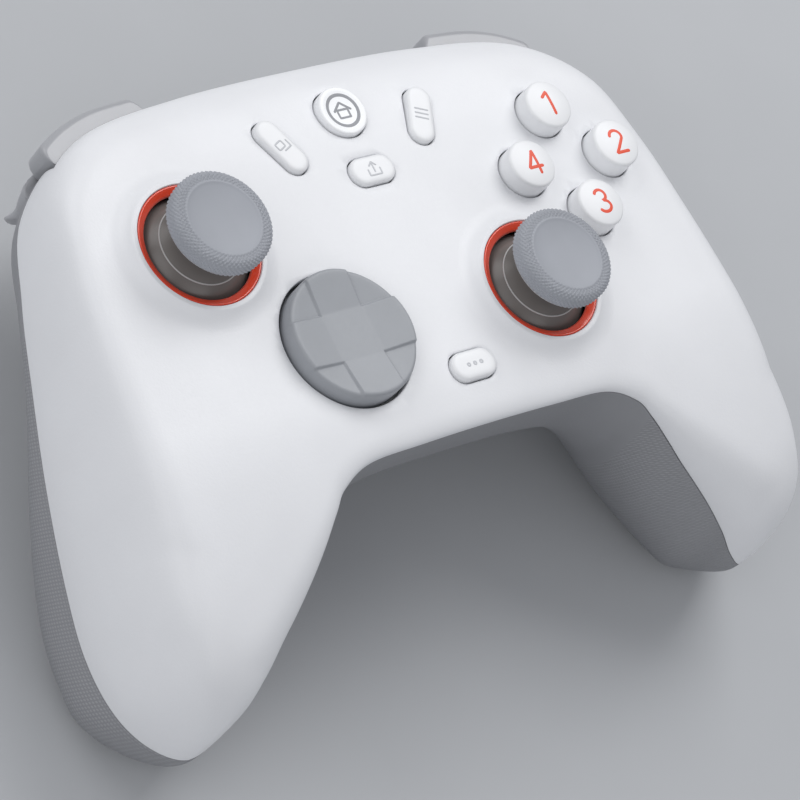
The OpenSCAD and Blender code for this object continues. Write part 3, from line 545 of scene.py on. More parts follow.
def collar_normal(p, centres):
    for centre in centres:
        d = p[:2] - np.array(centre)
        r = np.linalg.norm(d)
        if COLLAR_IN < r < COLLAR_OUT and p[2] > face_z(p[0], p[1]) - 0.01:
            a, e = math.atan2(d[1], d[0]), 0.01
            here = collar_point(centre, r, a)
            if abs(here[2] - p[2]) > COLLAR_NEAR:
                continue
            du = collar_point(centre, r + e, a) - collar_point(centre, r - e, a)
            dv = collar_point(centre, r, a + e) - collar_point(centre, r, a - e)
            n = np.cross(du, dv)
            return n / np.linalg.norm(n)
    return None


def collar(centre, steps=144):
    a = 2 * np.pi * np.arange(steps) / steps
    t = np.concatenate([np.linspace(0, 0.3, 9), np.linspace(0.34, COLLAR_END, 16)])
    radii = np.concatenate([[COLLAR_IN], mix(COLLAR_CREST, COLLAR_OUT, t)])
    rings = [collar_point(centre, np.full(steps, r), a) for r in radii]
    foot = rings[-1].copy()
    foot[:, 2] -= COLLAR_FOOT
    start = rings[0].copy()
    start[:, 2] = foot[:, 2].min()
    return tube(rings + [foot, start], close=True)


# Openings, each with a small eased lip where it meets the face.
LIP_RINGS = [(0.0, -0.3), (0.03, -0.16), (0.11, -0.05), (0.24, 0.02), (0.5, 0.12), (0.9, 0.4)]
OPENING_LOW, OPENING_HIGH = -9.0, 6.0


def opening(outline):
    rings = [level(outline(0), OPENING_LOW)]
    for grow, rise in LIP_RINGS:
        p = outline(grow)
        rings.append(level(p, face_z(*p.T) + rise))
    rings.append(level(p, OPENING_HIGH))
    return tube(rings)


def round_opening(centre, radius):
    return opening(lambda g: circle(radius + g, 72) + np.array(centre))


def pill_opening(centre, size, turn):
    length, width = (v + KEY_GAP for v in size)
    return opening(lambda g: turned(stadium(length + 2 * g, width + 2 * g, 64), turn, centre))


def stick_opening(centre):
    profile = [(0, -12), (13, -12), (10.95, -3.2), (10.95, -2.2), (11.45, -2.2), (11.45, -0.3),
               (11.5, -0.14), (11.62, -0.03), (11.8, 0.03), (12.0, 0.3), (12.0, 4), (0, 4)]
    return lathe(profile, centre, 144)


# Shoulder bars follow the outer seam.
SEAM = seam_lines(0)[0]
SEAM_STEP = 0.02
BAR_HIGH, BAR_LOW = -9.4, -18.8
BUMPER_Q = (0.92, 2.48)
SLANT, SLANT_FROM = 0.17, 1.7


def bar_ring(q, section):
    """A section set across the seam; towards the outer end its foot is drawn back."""
    s = np.asarray(section)
    lean = smooth((q - SLANT_FROM) / (BUMPER_Q[1] - SLANT_FROM))
    at = q - SLANT * lean * (BAR_HIGH - s[:, 1]) / (BAR_HIGH - BAR_LOW)
    p, a, b = along(SEAM, at), along(SEAM, at - SEAM_STEP), along(SEAM, at + SEAM_STEP)
    t = unit((b - a)[:, :2])
    return np.column_stack([p[:, 0] - t[:, 1] * s[:, 0], p[:, 1] + t[:, 0] * s[:, 0], s[:, 1]])


NOTCH_Q = (1.08, 2.55)
NOTCH_BACK, NOTCH_OUT = -8.4, 11.0
NOTCH_LOW, NOTCH_HIGH = -19.2, -9.0


def notch():
    section = box_corners(NOTCH_BACK, NOTCH_HIGH, NOTCH_OUT, NOTCH_LOW)
    return tube([bar_ring(q, section) for q in np.linspace(*NOTCH_Q, 61)])


# Triggers: a frame with u along the hinge axis and v outwards.
TRIGGER_AT = np.array([43.7, 52.9])
TRIGGER_Z = -22.0
TRIGGER_TURN = -25
DRUM_WELL_R, DRUM_R, DRUM_HOLLOW_R, WEB_R = 7.4, 7.0, 5.6, 6.9
WELL_U = (-15.5, 7.0, 9.5)
DRUM_U, WEBS_U, WEB_W = (-15, 6.5), (-15, -5.5, 3.5, 4.5), 2


def from_trigger(points):
    points = np.asarray(points, float)
    plan = turned(points[:, :2], TRIGGER_TURN, TRIGGER_AT)
    return np.column_stack([plan, points[:, 2] + TRIGGER_Z])


def trigger_prism(outline, u0, u1):
    outline = np.asarray(outline, float)
    rings = [np.column_stack([np.full(len(outline), u), outline]) for u in (u0, u1)]
    solid = tube(rings)
    return from_trigger(solid[0]), solid[1]


def trigger_wells():
    drum = trigger_prism(circle(DRUM_WELL_R, 72), WELL_U[0], WELL_U[1])
    bay = eased(box_corners(0.8, -40, 40, 3.0), (0, 0, 0, 0.6), closed=True)
    return [drum, trigger_prism(bay, WELL_U[0], WELL_U[2])]


GRIP_POST, TOP_POST = (62.0, -29.0), (16.0, 56.2)
GRIP_SPLIT, TOP_SPLIT = -26.0, -15.0
POST_R, WELL_R, SHANK_R = 3.1, 2.2, 1.25


def screw_post(at, low, split):
    return lathe([(0, low), (POST_R, low), (POST_R, split - 0.1), (0, split - 0.1)], at, 40)


def screw_well(at, split):
    floor = split - 3
    mouth = float(back_z(at[0], at[1]))
    profile = [(0, -52), (WELL_R + 0.9, -52), (WELL_R + 0.9, mouth - 0.4), (WELL_R + 0.3, mouth + 0.1),
               (WELL_R, mouth + 0.5), (WELL_R, floor), (SHANK_R, floor), (SHANK_R, split + 1), (0, split + 1)]
    return lathe(profile, at, 40)


def front_housing():
    solid, surface = housing_shell(True)
    sticks = (LEFT_STICK, RIGHT_STICK)
    solid = carve(solid, [collar(c) for c in sticks], "UNION")
    holes = [stick_opening(c) for c in sticks]
    holes += [round_opening(c, BUTTON_HOLE_R) for c in face_places().values()]
    holes += [round_opening(DPAD, DPAD_HOLE_R), round_opening(HOME, BUTTON_HOLE_R)]
    holes += [pill_opening(*place) for place in KEY_PLACES.values()]
    bars = [notch(), mirrored(notch())]
    return carve(solid, holes + bars), surface


USB_SIZE, USB_GAP, USB_Z = (8.94, 3.2), 0.6, -14.9
USB_PORT = [(1, 54.0), (1, 63.3), (1.06, 63.8), (1.3, 65.0), (1.3, 68.0)]


def upright(outline, y, z):
    """An outline drawn across the top edge: its own height runs along z."""
    return np.column_stack([outline[:, 0], np.full(len(outline), y), outline[:, 1] + z])


def usb_outline(inset):
    return stadium(*(v - 2 * inset for v in USB_SIZE))


def back_housing():
    solid, surface = housing_shell(False)
    posts = []
    for at, split in ((GRIP_POST, GRIP_SPLIT), (TOP_POST, TOP_SPLIT)):
        low = float(back_z(at[0], at[1])) + 1.1
        posts.append(screw_post(at, low, split))
    solid = carve(solid, posts + [mirrored(p) for p in posts], "UNION")
    cuts = [notch()] + trigger_wells() + [screw_well(GRIP_POST, GRIP_SPLIT), screw_well(TOP_POST, TOP_SPLIT)]
    cuts += [mirrored(c) for c in cuts]
    port = [upright(usb_outline(-USB_GAP / 2) * grow, y, USB_Z) for grow, y in USB_PORT]
    return carve(solid, cuts + [tube(port)]), surface


def face_places():
    x, y = FACE_CENTRE
    return {"north": (x, y + FACE_PITCH), "east": (x + FACE_PITCH, y),
            "south": (x, y - FACE_PITCH), "west": (x - FACE_PITCH, y)}


# Materials


def srgb(*rgb):
    c = np.array(rgb) / 255.0
    return tuple(np.where(c <= 0.04045, c / 12.92, ((c + 0.055) / 1.055) ** 2.4)) + (1.0,)


class Look:
    """A node material in the making."""

    def __init__(self, name, roughness, metallic=0.0, specular=0.5, coat=0.0, coat_roughness=0.1):
        self.material = bpy.data.materials.new(name)
        self.material.use_nodes = True
        self.tree = self.material.node_tree
        self.shader = self.tree.nodes["Principled BSDF"]
        self.fill(self.shader, {"Roughness": roughness, "Metallic": metallic, "Specular IOR Level": specular,
                                "Coat Weight": coat, "Coat Roughness": coat_roughness})
        self.place = self.node("ShaderNodeTexCoord").outputs["Object"]

    def fill(self, node, values):
        for key, value in values.items():
            node.inputs[key].default_value = value

    def node(self, kind, **settings):
        n = self.tree.nodes.new(kind)
        for key, value in settings.items():
            setattr(n, key, value)
        return n

    def link(self, a, b):
        self.tree.links.new(a, b)

    def noise(self, size, detail=2.0, rough=0.5):
        """Noise whose grains are about size millimetres across."""
        n = self.node("ShaderNodeTexNoise")
        self.fill(n, {"Scale": 1 / (size * MM), "Detail": detail, "Roughness": rough})
        self.link(self.place, n.inputs["Vector"])
        return n.outputs["Fac"]

    def spread(self, value, low, high, from_low=0.3, from_high=0.7):
        n = self.node("ShaderNodeMapRange")
        self.fill(n, {"From Min": from_low, "From Max": from_high, "To Min": low, "To Max": high})
        self.link(value, n.inputs["Value"])
        return n.outputs["Result"]

    def ramp(self, value, *stops):
        n = self.node("ShaderNodeValToRGB")
        while len(n.color_ramp.elements) < len(stops):
            n.color_ramp.elements.new(0.5)
        for element, (place, colour) in zip(n.color_ramp.elements, stops):
            element.position, element.color = place, colour
        self.link(value, n.inputs["Fac"])
        return n.outputs["Color"]

    def colour(self, value):
        self.link(value, self.shader.inputs["Base Color"])

    def roughness(self, value):
        self.link(value, self.shader.inputs["Roughness"])

    def bump(self, value, depth, under=None):
        n = self.node("ShaderNodeBump")
        self.fill(n, {"Strength": 1.0, "Distance": depth * MM})
        self.link(value, n.inputs["Height"])
        if under is not None:
            self.link(under, n.inputs["Normal"])
        self.link(n.outputs["Normal"], self.shader.inputs["Normal"])
        return n.outputs["Normal"]

    def math(self, operation, a, b=None):
        n = self.node("ShaderNodeMath", operation=operation)
        self.link(a, n.inputs[0])
        if isinstance(b, float):
            n.inputs[1].default_value = b
        elif b is not None:
            self.link(b, n.inputs[1])
        return n.outputs[0]

    def vector(self, operation, a, values=None):
        n = self.node("ShaderNodeVectorMath", operation=operation)
        self.link(a, n.inputs[0])
        self.fill(n, values or {})
        return n.outputs["Value" if operation == "LENGTH" else "Vector"]


def shade(colour, factor):
    return tuple(min(c * factor, 1.0) for c in colour[:3]) + (1.0,)


CLOUD = 14
CLOUD_RANGE = (0.35, 0.65)


def clouded(look, size, colour, low, high):
    """Tints a look with soft clouds, from the low to the high share of its colour."""
    stops = zip(CLOUD_RANGE, (low, high))
    look.colour(look.ramp(look.noise(size, 3), *((place, shade(colour, share)) for place, share in stops)))


def moulded(name, colour, roughness, grain, depth, contrast, sheen=0.055, **gloss):
    """Satin moulded plastic: a fine eroded grain, and faint cloudiness in tint and gloss."""
    look = Look(name, roughness, **gloss)
    clouded(look, CLOUD, colour, 1 - contrast, 1 + contrast)
    fine = look.noise(grain, 2, 0.6)
    look.roughness(look.spread(fine, roughness - sheen, roughness + sheen))
    look.bump(fine, depth)
    return look.material


def metal(name, colour, roughness, scratch=0.2):
    look = Look(name, roughness, metallic=1.0)
    clouded(look, 3, colour, 0.93, 1.05)
    fine = look.noise(scratch, 3, 0.7)
    look.roughness(look.spread(fine, roughness - 0.06, roughness + 0.1))
    look.bump(fine, 0.006)
    return look.material


# Dots on the grips: where their field ends in metres, and their pitch and rise in millimetres.
DOTS_SLOPE, DOTS_EDGE = -0.62, (0.0551, 0.0555)
DOT_PITCH, DOT_RISE, DOT_RADII = 0.62, 0.06, (0.2, 0.42)


def gripped(name, colour, roughness):
    """The back: plain satin plastic, with a fine grid of raised dots on the grips, each dot painted lighter as
    a painted highlight.
    """
    look = Look(name, roughness)
    place = look.node("ShaderNodeSeparateXYZ")
    look.link(look.place, place.inputs[0])
    side = look.math("ABSOLUTE", place.outputs["X"])
    edge = look.math("ADD", side, look.math("MULTIPLY", place.outputs["Y"], DOTS_SLOPE))
    mask = look.spread(edge, 0, 1, *DOTS_EDGE)
    uv = look.node("ShaderNodeUVMap", uv_map="surface").outputs["UV"]
    cell = look.vector("FRACTION", look.vector("SCALE", uv, {"Scale": 1 / (DOT_PITCH * UV_SCALE)}))
    size = look.vector("LENGTH", look.vector("SUBTRACT", cell, {1: (0.5, 0.5, 0)}))
    dot = look.math("MULTIPLY", look.spread(size, 1, 0, *DOT_RADII), mask)
    cloud = look.spread(look.noise(CLOUD, 3), 0.35, 0.65)
    # Each raised dot is painted lighter than the plastic round it, a painted highlight on its top, with faint
    # cloudiness over all and the dotted field a little darker.
    dot_highlight_and_cloud = look.math("ADD", look.math("MULTIPLY", dot, 0.34), look.math("MULTIPLY", cloud, 0.12))
    shift = look.math("ADD", dot_highlight_and_cloud, look.math("MULTIPLY", mask, -0.1))
    look.colour(look.ramp(shift, (0.0, shade(colour, 0.86)), (0.4, shade(colour, 1.16))))
    fine = look.noise(0.35, 2, 0.6)
    look.roughness(look.spread(fine, roughness - 0.05, roughness + 0.06))
    first = look.bump(fine, 0.01)
    look.bump(dot, DOT_RISE, first)
    return look.material


# Plastics: colour, roughness, size and depth of the grain in millimetres, contrast, and other settings.
PLASTICS = {
    "white_shell": ((233, 234, 237), 0.42, 0.5, 0.026, 0.012, {}),
    "white_key": ((236, 237, 239), 0.34, 0.3, 0.006, 0.012, {}),
    "white_ring": ((244, 245, 247), 0.3, 0.3, 0.004, 0.01, {}),
    "light_bar": ((166, 167, 171), 0.3, 0.4, 0.0004, 0.02,
                  {"sheen": 0.01, "coat": 0.25, "coat_roughness": 0.15}),
    "orange_ring": ((226, 66, 33), 0.22, 0.5, 0.001, 0.03,
                    {"sheen": 0.015, "coat": 0.5, "coat_roughness": 0.08}),
    "orange_ink": ((232, 78, 44), 0.45, 0.2, 0.003, 0.04, {}),
    "grey_ink": ((150, 152, 157), 0.5, 0.2, 0.003, 0.04, {}),
    "faint_ink": ((200, 202, 206), 0.5, 0.2, 0.003, 0.03, {}),
    "cap_rubber": ((164, 167, 174), 0.56, 0.25, 0.012, 0.04, {"specular": 0.35}),
    "pad_grey": ((156, 159, 164), 0.46, 0.3, 0.008, 0.03, {}),
    "dark_dome": ((108, 104, 101), 0.3, 0.8, 0.0008, 0.04, {"sheen": 0.015}),
    # The next entry paints the thin lines round the sticks pale: a painted highlight where their raised edges
    # catch the light.
    "glint_line": ((190, 190, 190), 0.35, 0.3, 0.004, 0.03, {}),
    "dark_plastic": ((52, 51, 50), 0.5, 0.3, 0.01, 0.06, {}),
    "dark_rubber": ((44, 44, 46), 0.66, 0.4, 0.015, 0.08, {}),
    "pcb": ((26, 84, 52), 0.36, 0.7, 0.01, 0.12, {}),
    "wrap": ((178, 182, 188), 0.3, 1.4, 0.02, 0.05, {}),
}
LOOKS = {name: moulded(name, srgb(*rgb), *values, **more) for name, (rgb, *values, more) in PLASTICS.items()}
LOOKS["grey_back"] = gripped("grey_back", srgb(150, 151, 155), 0.48)
LOOKS["steel"] = metal("steel", srgb(186, 188, 192), 0.3)

# Housing
BODY = "housing"
shell, surface = front_housing()
piece("front_housing", shell, "white_shell", BODY, ["front_shell"], sharp=32,
      finish=skin_finish(surface, (LEFT_STICK, RIGHT_STICK)))
shell, surface = back_housing()
piece("back_housing", shell, "grey_back", BODY, ["back_shell"], sharp=32,
      finish=skin_finish(surface))

# Bumpers
BUMPER_BACK, BUMPER_INSIDE, BUMPER_PROUD = -6.4, -4.6, 3.0
BUMPER_RISE, BUMPER_RAMP_AT, BUMPER_RAMP = (0.127, 0.27), (0.2, 0.55), 0.4
BUMPER_END, BUMPER_DROP = 0.93, 2.6
BUMPER_ROUND, BUMPER_EDGE = 1.6, 0.4
BUMPER_PIVOT = (24.0, 58.9)


def bumper_out(t):
    rise, ramp = (smooth((t - a) / (b - a)) for a, b in (BUMPER_RISE, BUMPER_RAMP_AT))
    return mix(BUMPER_INSIDE, BUMPER_PROUD - BUMPER_RAMP, rise) + BUMPER_RAMP * ramp


def bumper_section(out, inset):
    d0, d1 = BUMPER_BACK + inset, out - inset
    z0, z1 = BAR_LOW + inset, BAR_HIGH - inset
    r = min(BUMPER_ROUND, 0.4 * (d1 - d0))
    return eased(box_corners(d0, z1, d1, z0), (0.3, r, r, 0.3), 8, closed=True)


def bumper():
    along_bar = [(t, float(bumper_out(t)), 0.0) for t in np.linspace(0, BUMPER_END, 120)]
    turn = np.radians(np.linspace(0, 80, 15)[1:])
    corner = [(mix(BUMPER_END, 1, math.sin(a)), BUMPER_PROUD - BUMPER_DROP * (1 - math.cos(a)), 0.0)
              for a in turn]
    at, out, _ = corner[-1]
    cap = [(mix(at, 1, math.sin(a)), out, BUMPER_EDGE * (1 - math.cos(a))) for a in np.radians([30, 60, 90])]
    stations = [(0.0, BUMPER_INSIDE, BUMPER_EDGE)] + along_bar + corner + cap
    bar = tube([bar_ring(mix(*BUMPER_Q, t), bumper_section(out, inset)) for t, out, inset in stations])
    lug = lathe(eased(box_corners(1.55, -17, 2.4, -11.5), (0.2,) * 4, 3, closed=True), BUMPER_PIVOT, 40)
    return join(bar, lug)


pair("bumper_bar", bumper(), "light_bar", "bumper")

# Triggers
SCOOP_R, SCOOP_V, SCOOP_Z = 14.0, 21.8, -5.0
PLAN_R, PLAN_U, PLAN_V = 42.5, 1.5, -32.15
PADDLE_END_R, PADDLE_SIDE = 3.0, 6.6
PADDLE_REACH, PADDLE_CORNER, PADDLE_HOLD, PADDLE_EDGE = 10.0, 6.0, -1.0, 0.9
U0, U1 = -15.0, 9.0


def even_path(path, count):
    path = looped(path)
    return path_at(path, np.linspace(0, path_runs(path)[-1], count, endpoint=False))


def softened(path, passes):
    for _ in range(passes):
        path = 0.25 * np.roll(path, 1, 0) + 0.5 * path + 0.25 * np.roll(path, -1, 0)
    return path


def paddle_outline():
    z = np.linspace(0.9, -9.0, 50)
    plain = np.interp(-z, [-0.9, 7.0, 9.1], [10.2, 10.2, 8.9])
    scoop = SCOOP_V - np.sqrt(SCOOP_R ** 2 - (z - SCOOP_Z) ** 2)
    face = np.column_stack([np.minimum(plain, scoop), z])
    path = np.vstack([[(3.1, 0.2), (7.1, 2.6), (8.8, 2.6), (9.8, 2.1)], face,
                      [(8.3, -9.8), (7.7, -10.0), (6.7, -9.4), (5.1, -6.5), (3.1, -3.0)]])
    return softened(even_path(path, 200), 5)


def soft_least(a, b, width):
    h = np.clip(0.5 + 0.5 * (b - a) / width, 0, 1)
    return mix(b, a, h) - width * h * (1 - h)


def paddle_floor(u):
    """How far down the paddle reaches, with its lower corners rounded."""
    off = max(abs(u - (U0 + U1) / 2) - ((U1 - U0) / 2 - PADDLE_CORNER), 0)
    return PADDLE_CORNER - PADDLE_REACH - math.sqrt(max(PADDLE_CORNER ** 2 - off ** 2, 0))


def paddle():
    base = paddle_outline()
    t = unit(np.roll(base, -1, 0) - np.roll(base, 1, 0))
    normal = np.column_stack([t[:, 1], -t[:, 0]])
    if ((base - base.mean(0)) * normal).sum() < 0:
        normal = -normal
    turn = np.radians(np.arange(0, 91, 18))
    ends = list(zip(PADDLE_EDGE * (1 - np.cos(turn)), PADDLE_EDGE * (1 - np.sin(turn))))
    body = [(u, 0.0) for u in np.linspace(U0 + PADDLE_EDGE + 0.4, U1 - PADDLE_EDGE - 0.1, 60)]
    rings = []
    for u, inset in [(U0 + u, i) for u, i in ends] + body + [(U1 - u, i) for u, i in ends[::-1]]:
        p = base - normal * inset
        reach = PLAN_V + math.sqrt(PLAN_R ** 2 - (u - PLAN_U) ** 2) - inset
        v = soft_least(p[:, 0], reach, 1.0)
        past = u - (U1 - PADDLE_END_R)
        if past > 0:
            half = math.sqrt(max(PADDLE_END_R ** 2 - past ** 2, 0))
            v = soft_least(v, PADDLE_SIDE + half, 0.5)
        squeeze = (PADDLE_HOLD - paddle_floor(u)) / (PADDLE_HOLD + PADDLE_REACH)
        z = np.where(p[:, 1] < PADDLE_HOLD, PADDLE_HOLD + (p[:, 1] - PADDLE_HOLD) * squeeze, p[:, 1])
        rings.append(np.column_stack([np.full(len(p), u), v, z]))
    solid = tube(rings)
    return from_trigger(solid[0]), solid[1]


def trigger():
    bow = arc(0, 0, 1, 1, 180, 360, 41)
    drum = trigger_prism(np.vstack([bow * DRUM_R, bow[::-1] * DRUM_HOLLOW_R]), *DRUM_U)
    web = np.vstack([bow * WEB_R, [(5.1, 1.7), (2.2, 2.6)]])
    webs = [trigger_prism(web, u, u + WEB_W) for u in WEBS_U]
    return join(paddle(), drum, *webs)


pair("trigger_paddle", trigger(), "light_bar", "trigger", sharp=40)

# Thumbsticks
PIVOT_Z = -10.0
DISC_R = 6.85
KNURLS, KNURL_STEPS, KNURL_ROWS = 66, 6, 46
KNURL_DEPTH, KNURL_PITCH, KNURL_FLAT = 0.25, 0.87, 1.5
KNURL_FADE = (0.35, 0.45)
CAP_UNDER = [(4.8, 13.75), (7.6, 14.85)]
CAP_DISH = [(6.7, 18.93), (6.55, 18.86), (6.2, 18.76), (5.2, 18.55), (4.0, 18.36), (2.6, 18.26), (1.2, 18.21)]
DOME_R, DOME_INNER_R, DOME_FOOT, DOME_NECK = 12.4, 11.4, 79, 24
DOME_LINE = math.radians(37.5)


def wave(a):
    return 1 - np.abs(2 * (a % 1) - 1)


def knurled_rim():
    path = eased([(8.2, 15.15), (9.3, 15.6), (9.3, 18.35), (8.35, 19.0), (DISC_R, 19.0)],
                 (0, 0.9, 1.1, 1.0, 0), 8)
    length = path_runs(path)[-1]
    s = np.linspace(0, length, KNURL_ROWS)
    p = path_at(path, s)
    t = unit(np.gradient(p, axis=0))
    inward = np.column_stack([-t[:, 1], t[:, 0]])
    steps = KNURLS * KNURL_STEPS
    a = np.arange(steps) / KNURL_STEPS
    fade = smooth(s / KNURL_FADE[0]) * smooth((length - s) / KNURL_FADE[1])
    rings = []
    for k in range(KNURL_ROWS):
        ridge = np.minimum(wave(a + s[k] / KNURL_PITCH), wave(a - s[k] / KNURL_PITCH))
        sink = KNURL_DEPTH * (1 - np.minimum(ridge * KNURL_FLAT, 1)) * fade[k]
        r, z = (p[k, j] + inward[k, j] * sink for j in range(2))
        rings.append(level(circle(1, steps) * r[:, None], z))
    return rings


def stick_cap():
    rings = knurled_rim()
    under, dish = ([level(circle(r, len(rings[0])), z) for r, z in path] for path in (CAP_UNDER, CAP_DISH))
    return tube(under + rings + dish)


def bead(radius, z, thick):
    """A thin raised line round the stick, painted pale in its second material: a painted highlight where its
    edge catches the light.
    """
    return painted(lathe(arc(radius, z, thick, thick, 0, 315, 8), steps=120), 1)


def stick_dome():
    dome, hollow = ([(r * math.sin(a), r * math.cos(a)) for a in np.radians(angles)] for r, angles in (
        (DOME_R, np.linspace(DOME_FOOT, DOME_NECK, 24)), (DOME_INNER_R, np.linspace(0, DOME_FOOT, 26))))
    neck = eased([dome[-1], (4.45, 11.75), (4.35, 12.4), (4.45, 13.6), (5.2, 14.2), (0, 14.2)],
                 (0, 0.5, 0.6, 0.8, 0.2, 0), 6)
    body = lathe([*hollow, *dome[:-1], *neck], steps=120)
    line = bead(DOME_R * math.sin(DOME_LINE), DOME_R * math.cos(DOME_LINE), 0.13)
    return join(body, line, bead(8.5, 15.13, 0.12))


RING = eased([(11.4, -2.2), (11.4, 0.0), (10.1, -0.72), (9.9, -1.1), (10.5, -2.2)],
             (0.1, 0.22, 0.25, 0.12, 0.1), 5, closed=True)
for side, centre in (("left", LEFT_STICK), ("right", RIGHT_STICK)):
    stick, cap = f"{side}_stick", f"{side}_stick_cap"
    piece(f"{stick}_pad", moved(stick_cap(), centre, PIVOT_Z), "cap_rubber", stick, [cap],
          sharp=60)
    piece(f"{stick}_dome", moved(stick_dome(), centre, PIVOT_Z), ["dark_dome", "glint_line"], stick,
          [cap])
    piece(f"{stick}_trim", lathe(RING, centre, 160), "orange_ring", BODY, [f"{stick}_ring"])

# Cross pad: a dished disc with four raised arms, its edges eased.
PAD_R, PAD_ARM = 12.1, 4.5
PAD_MID, PAD_RIM, PAD_LOW, PAD_LOW_RIM = 0.8, 1.9, 0.45, 1.3
PAD_EASE = [-0.5, -0.36, -0.24, -0.12, 0.0, 0.1, 0.2, 0.32]
PAD_RIM_EASE = [(0.9, 0.0), (0.62, 0.03), (0.4, 0.1), (0.22, 0.24), (0.08, 0.48), (0.0, 0.8)]
PAD_FOLD, PAD_GRID_R = 0.3, 10.95
PAD_STEP, PAD_NEAR = 3.0, 1.2
PAD_SIDE = [(PAD_R, -3.2), (10.6, -3.4), (10.6, -5.9), (13.4, -5.9), (13.4, -7.0)]
PAD_FOOT, PAD_FOOT_AT = [(0, -6.9), (1.6, -6.9), (1.6, -8.4), (1.4, -8.6), (0, -8.6)], 8


def pad_height(x, y):
    ax, ay = np.abs(x), np.abs(y)
    m, r = np.maximum(ax, ay), np.hypot(x, y)
    rise = m - PAD_ARM
    folded = (rise + PAD_FOLD) ** 2 / (4 * PAD_FOLD)
    rise = np.where(rise < -PAD_FOLD, 0, np.where(rise > PAD_FOLD, rise, folded))
    arm = PAD_MID + (PAD_RIM - PAD_MID) * rise / (PAD_R - PAD_ARM)
    corner = PAD_ARM * math.sqrt(2)
    low = PAD_LOW + (PAD_LOW_RIM - PAD_LOW) * np.maximum(r - corner, 0) / (PAD_R - corner)
    least = np.minimum(ax, ay) - PAD_ARM
    return mix(low, arm, smooth((0.12 - least) / 0.4))


def pad_lines():
    """Lines of the pad's grid, close together where the arms are eased."""
    half = [PAD_ARM + e for e in PAD_EASE] + list(np.linspace(5.4, 11.2, 8))
    lines = [s * v for s in (-1, 1) for v in half] + list(np.linspace(-3.6, 3.6, 7))
    return sorted({round(float(v), 4) for v in lines})


def rim_angles(r):
    """Angles of the points on a circle of the pad: even ones, and those where the arms' lines cross it."""
    full, quarter = 2 * math.pi, math.pi / 2
    crossings = []
    for e in PAD_EASE:
        a = math.asin((PAD_ARM + e) / r)
        for q in range(4):
            crossings += [q * quarter + a, q * quarter + quarter - a]
    crossings = np.array(crossings) % full
    even = np.radians(np.arange(0, 360, PAD_STEP))
    apart = np.abs((even[:, None] - crossings + math.pi) % full - math.pi).min(axis=1)
    return np.sort(np.concatenate([even[apart > math.radians(PAD_NEAR)], crossings]))


def cross_pad():
    lines = pad_lines()
    points = [(x, y) for x in lines for y in lines if math.hypot(x, y) < PAD_GRID_R]
    drops = [0.0] * len(points)
    for inset, drop in PAD_RIM_EASE:
        r = PAD_R - inset
        start, angles = len(points), rim_angles(r)
        points += [(r * math.cos(a), r * math.sin(a)) for a in angles]
        drops += [drop] * len(angles)
    edges = [(start + k, start + (k + 1) % len(angles)) for k in range(len(angles))]
    out, _, tris, origin, _, _ = delaunay_2d_cdt([Vector(p) for p in points], edges, [], 1, 1e-6)
    flat = np.array([tuple(p) for p in out])
    fall = np.array([drops[o[0]] if o else 0.0 for o in origin])
    top = np.column_stack([flat, pad_height(flat[:, 0], flat[:, 1]) - fall])
    rim = sorted((i for i, p in enumerate(flat) if abs(math.hypot(*p) - PAD_R) < 1e-4),
                 key=lambda i: math.atan2(flat[i][1], flat[i][0]))
    verts, faces = list(top), [tuple(t) for t in tris]
    ring = rim
    for r, z in PAD_SIDE:
        start = len(verts)
        verts += list(level(flat[rim] * r / PAD_R, z))
        nxt = list(range(start, start + len(rim)))
        faces += [(ring[k], nxt[k], nxt[(k + 1) % len(rim)], ring[(k + 1) % len(rim)]) for k in range(len(rim))]
        ring = nxt
    faces.append(tuple(ring[::-1]))
    feet = [lathe(PAD_FOOT, turned([(PAD_FOOT_AT, 0)], 90 * k)[0], 32) for k in range(4)]
    return join((np.array(verts), faces), *feet)


piece("cross_pad", moved(cross_pad(), DPAD), "pad_grey", "dpad", ["dpad"], sharp=50)

# Face buttons, each with a numeral in strokes that follow its crown.
BUTTON_R, BUTTON_TOP, CROWN_R = 4.8, 2.4, 22.0


def crown(x, y):
    return BUTTON_TOP - CROWN_R + np.sqrt(CROWN_R ** 2 - x ** 2 - y ** 2)


def face_button():
    top = [(r, float(crown(r, 0))) for r in np.linspace(0, 3.8, 9)]
    corner = (BUTTON_R, float(crown(BUTTON_R, 0)))
    side = eased([top[-1], corner, (BUTTON_R, -5.2), (5.9, -5.2), (5.9, -6.2), (2.6, -6.2), (2.6, -11.8),
                  (0, -11.8)], (0, 0.75, 0, 0, 0, 0, 0.2, 0), 8)
    return lathe([*top[:-1], *side])


def fine(points, step=0.15):
    points = np.asarray(points, float)
    length = path_runs(points)[-1]
    return path_at(points, np.linspace(0, length, max(int(length / step), 2) + 1))


def stroke(path, width, ground, rise, sink=0.12, closed=False):
    """A thin raised line that follows the ground under it."""
    p = fine(path)[:-1] if closed else fine(path)
    t = unit(np.roll(p, -1, 0) - np.roll(p, 1, 0) if closed else np.gradient(p, axis=0))
    n = np.column_stack([-t[:, 1], t[:, 0]])
    half = width / 2
    across = half * np.array([-1, -1, -0.72, 0, 0.72, 1, 1])
    up = np.array([-sink, 0.4 * rise, rise, rise * 1.1, rise, 0.4 * rise, -sink])

    def ring(k, share=1.0, ahead=0.0):
        plan = p[k] + t[k] * ahead + np.outer(across * share, n[k])
        return level(plan, ground(*plan.T) + up)

    rings = [ring(k) for k in range(len(p))]
    if not closed:
        turn = np.radians([35, 65, 85])
        start, end = ([ring(k, math.cos(a), sign * half * math.sin(a)) for a in turn]
                      for sign, k in ((-1, 0), (1, -1)))
        rings = start[::-1] + rings + end
    return tube(rings, close=closed)


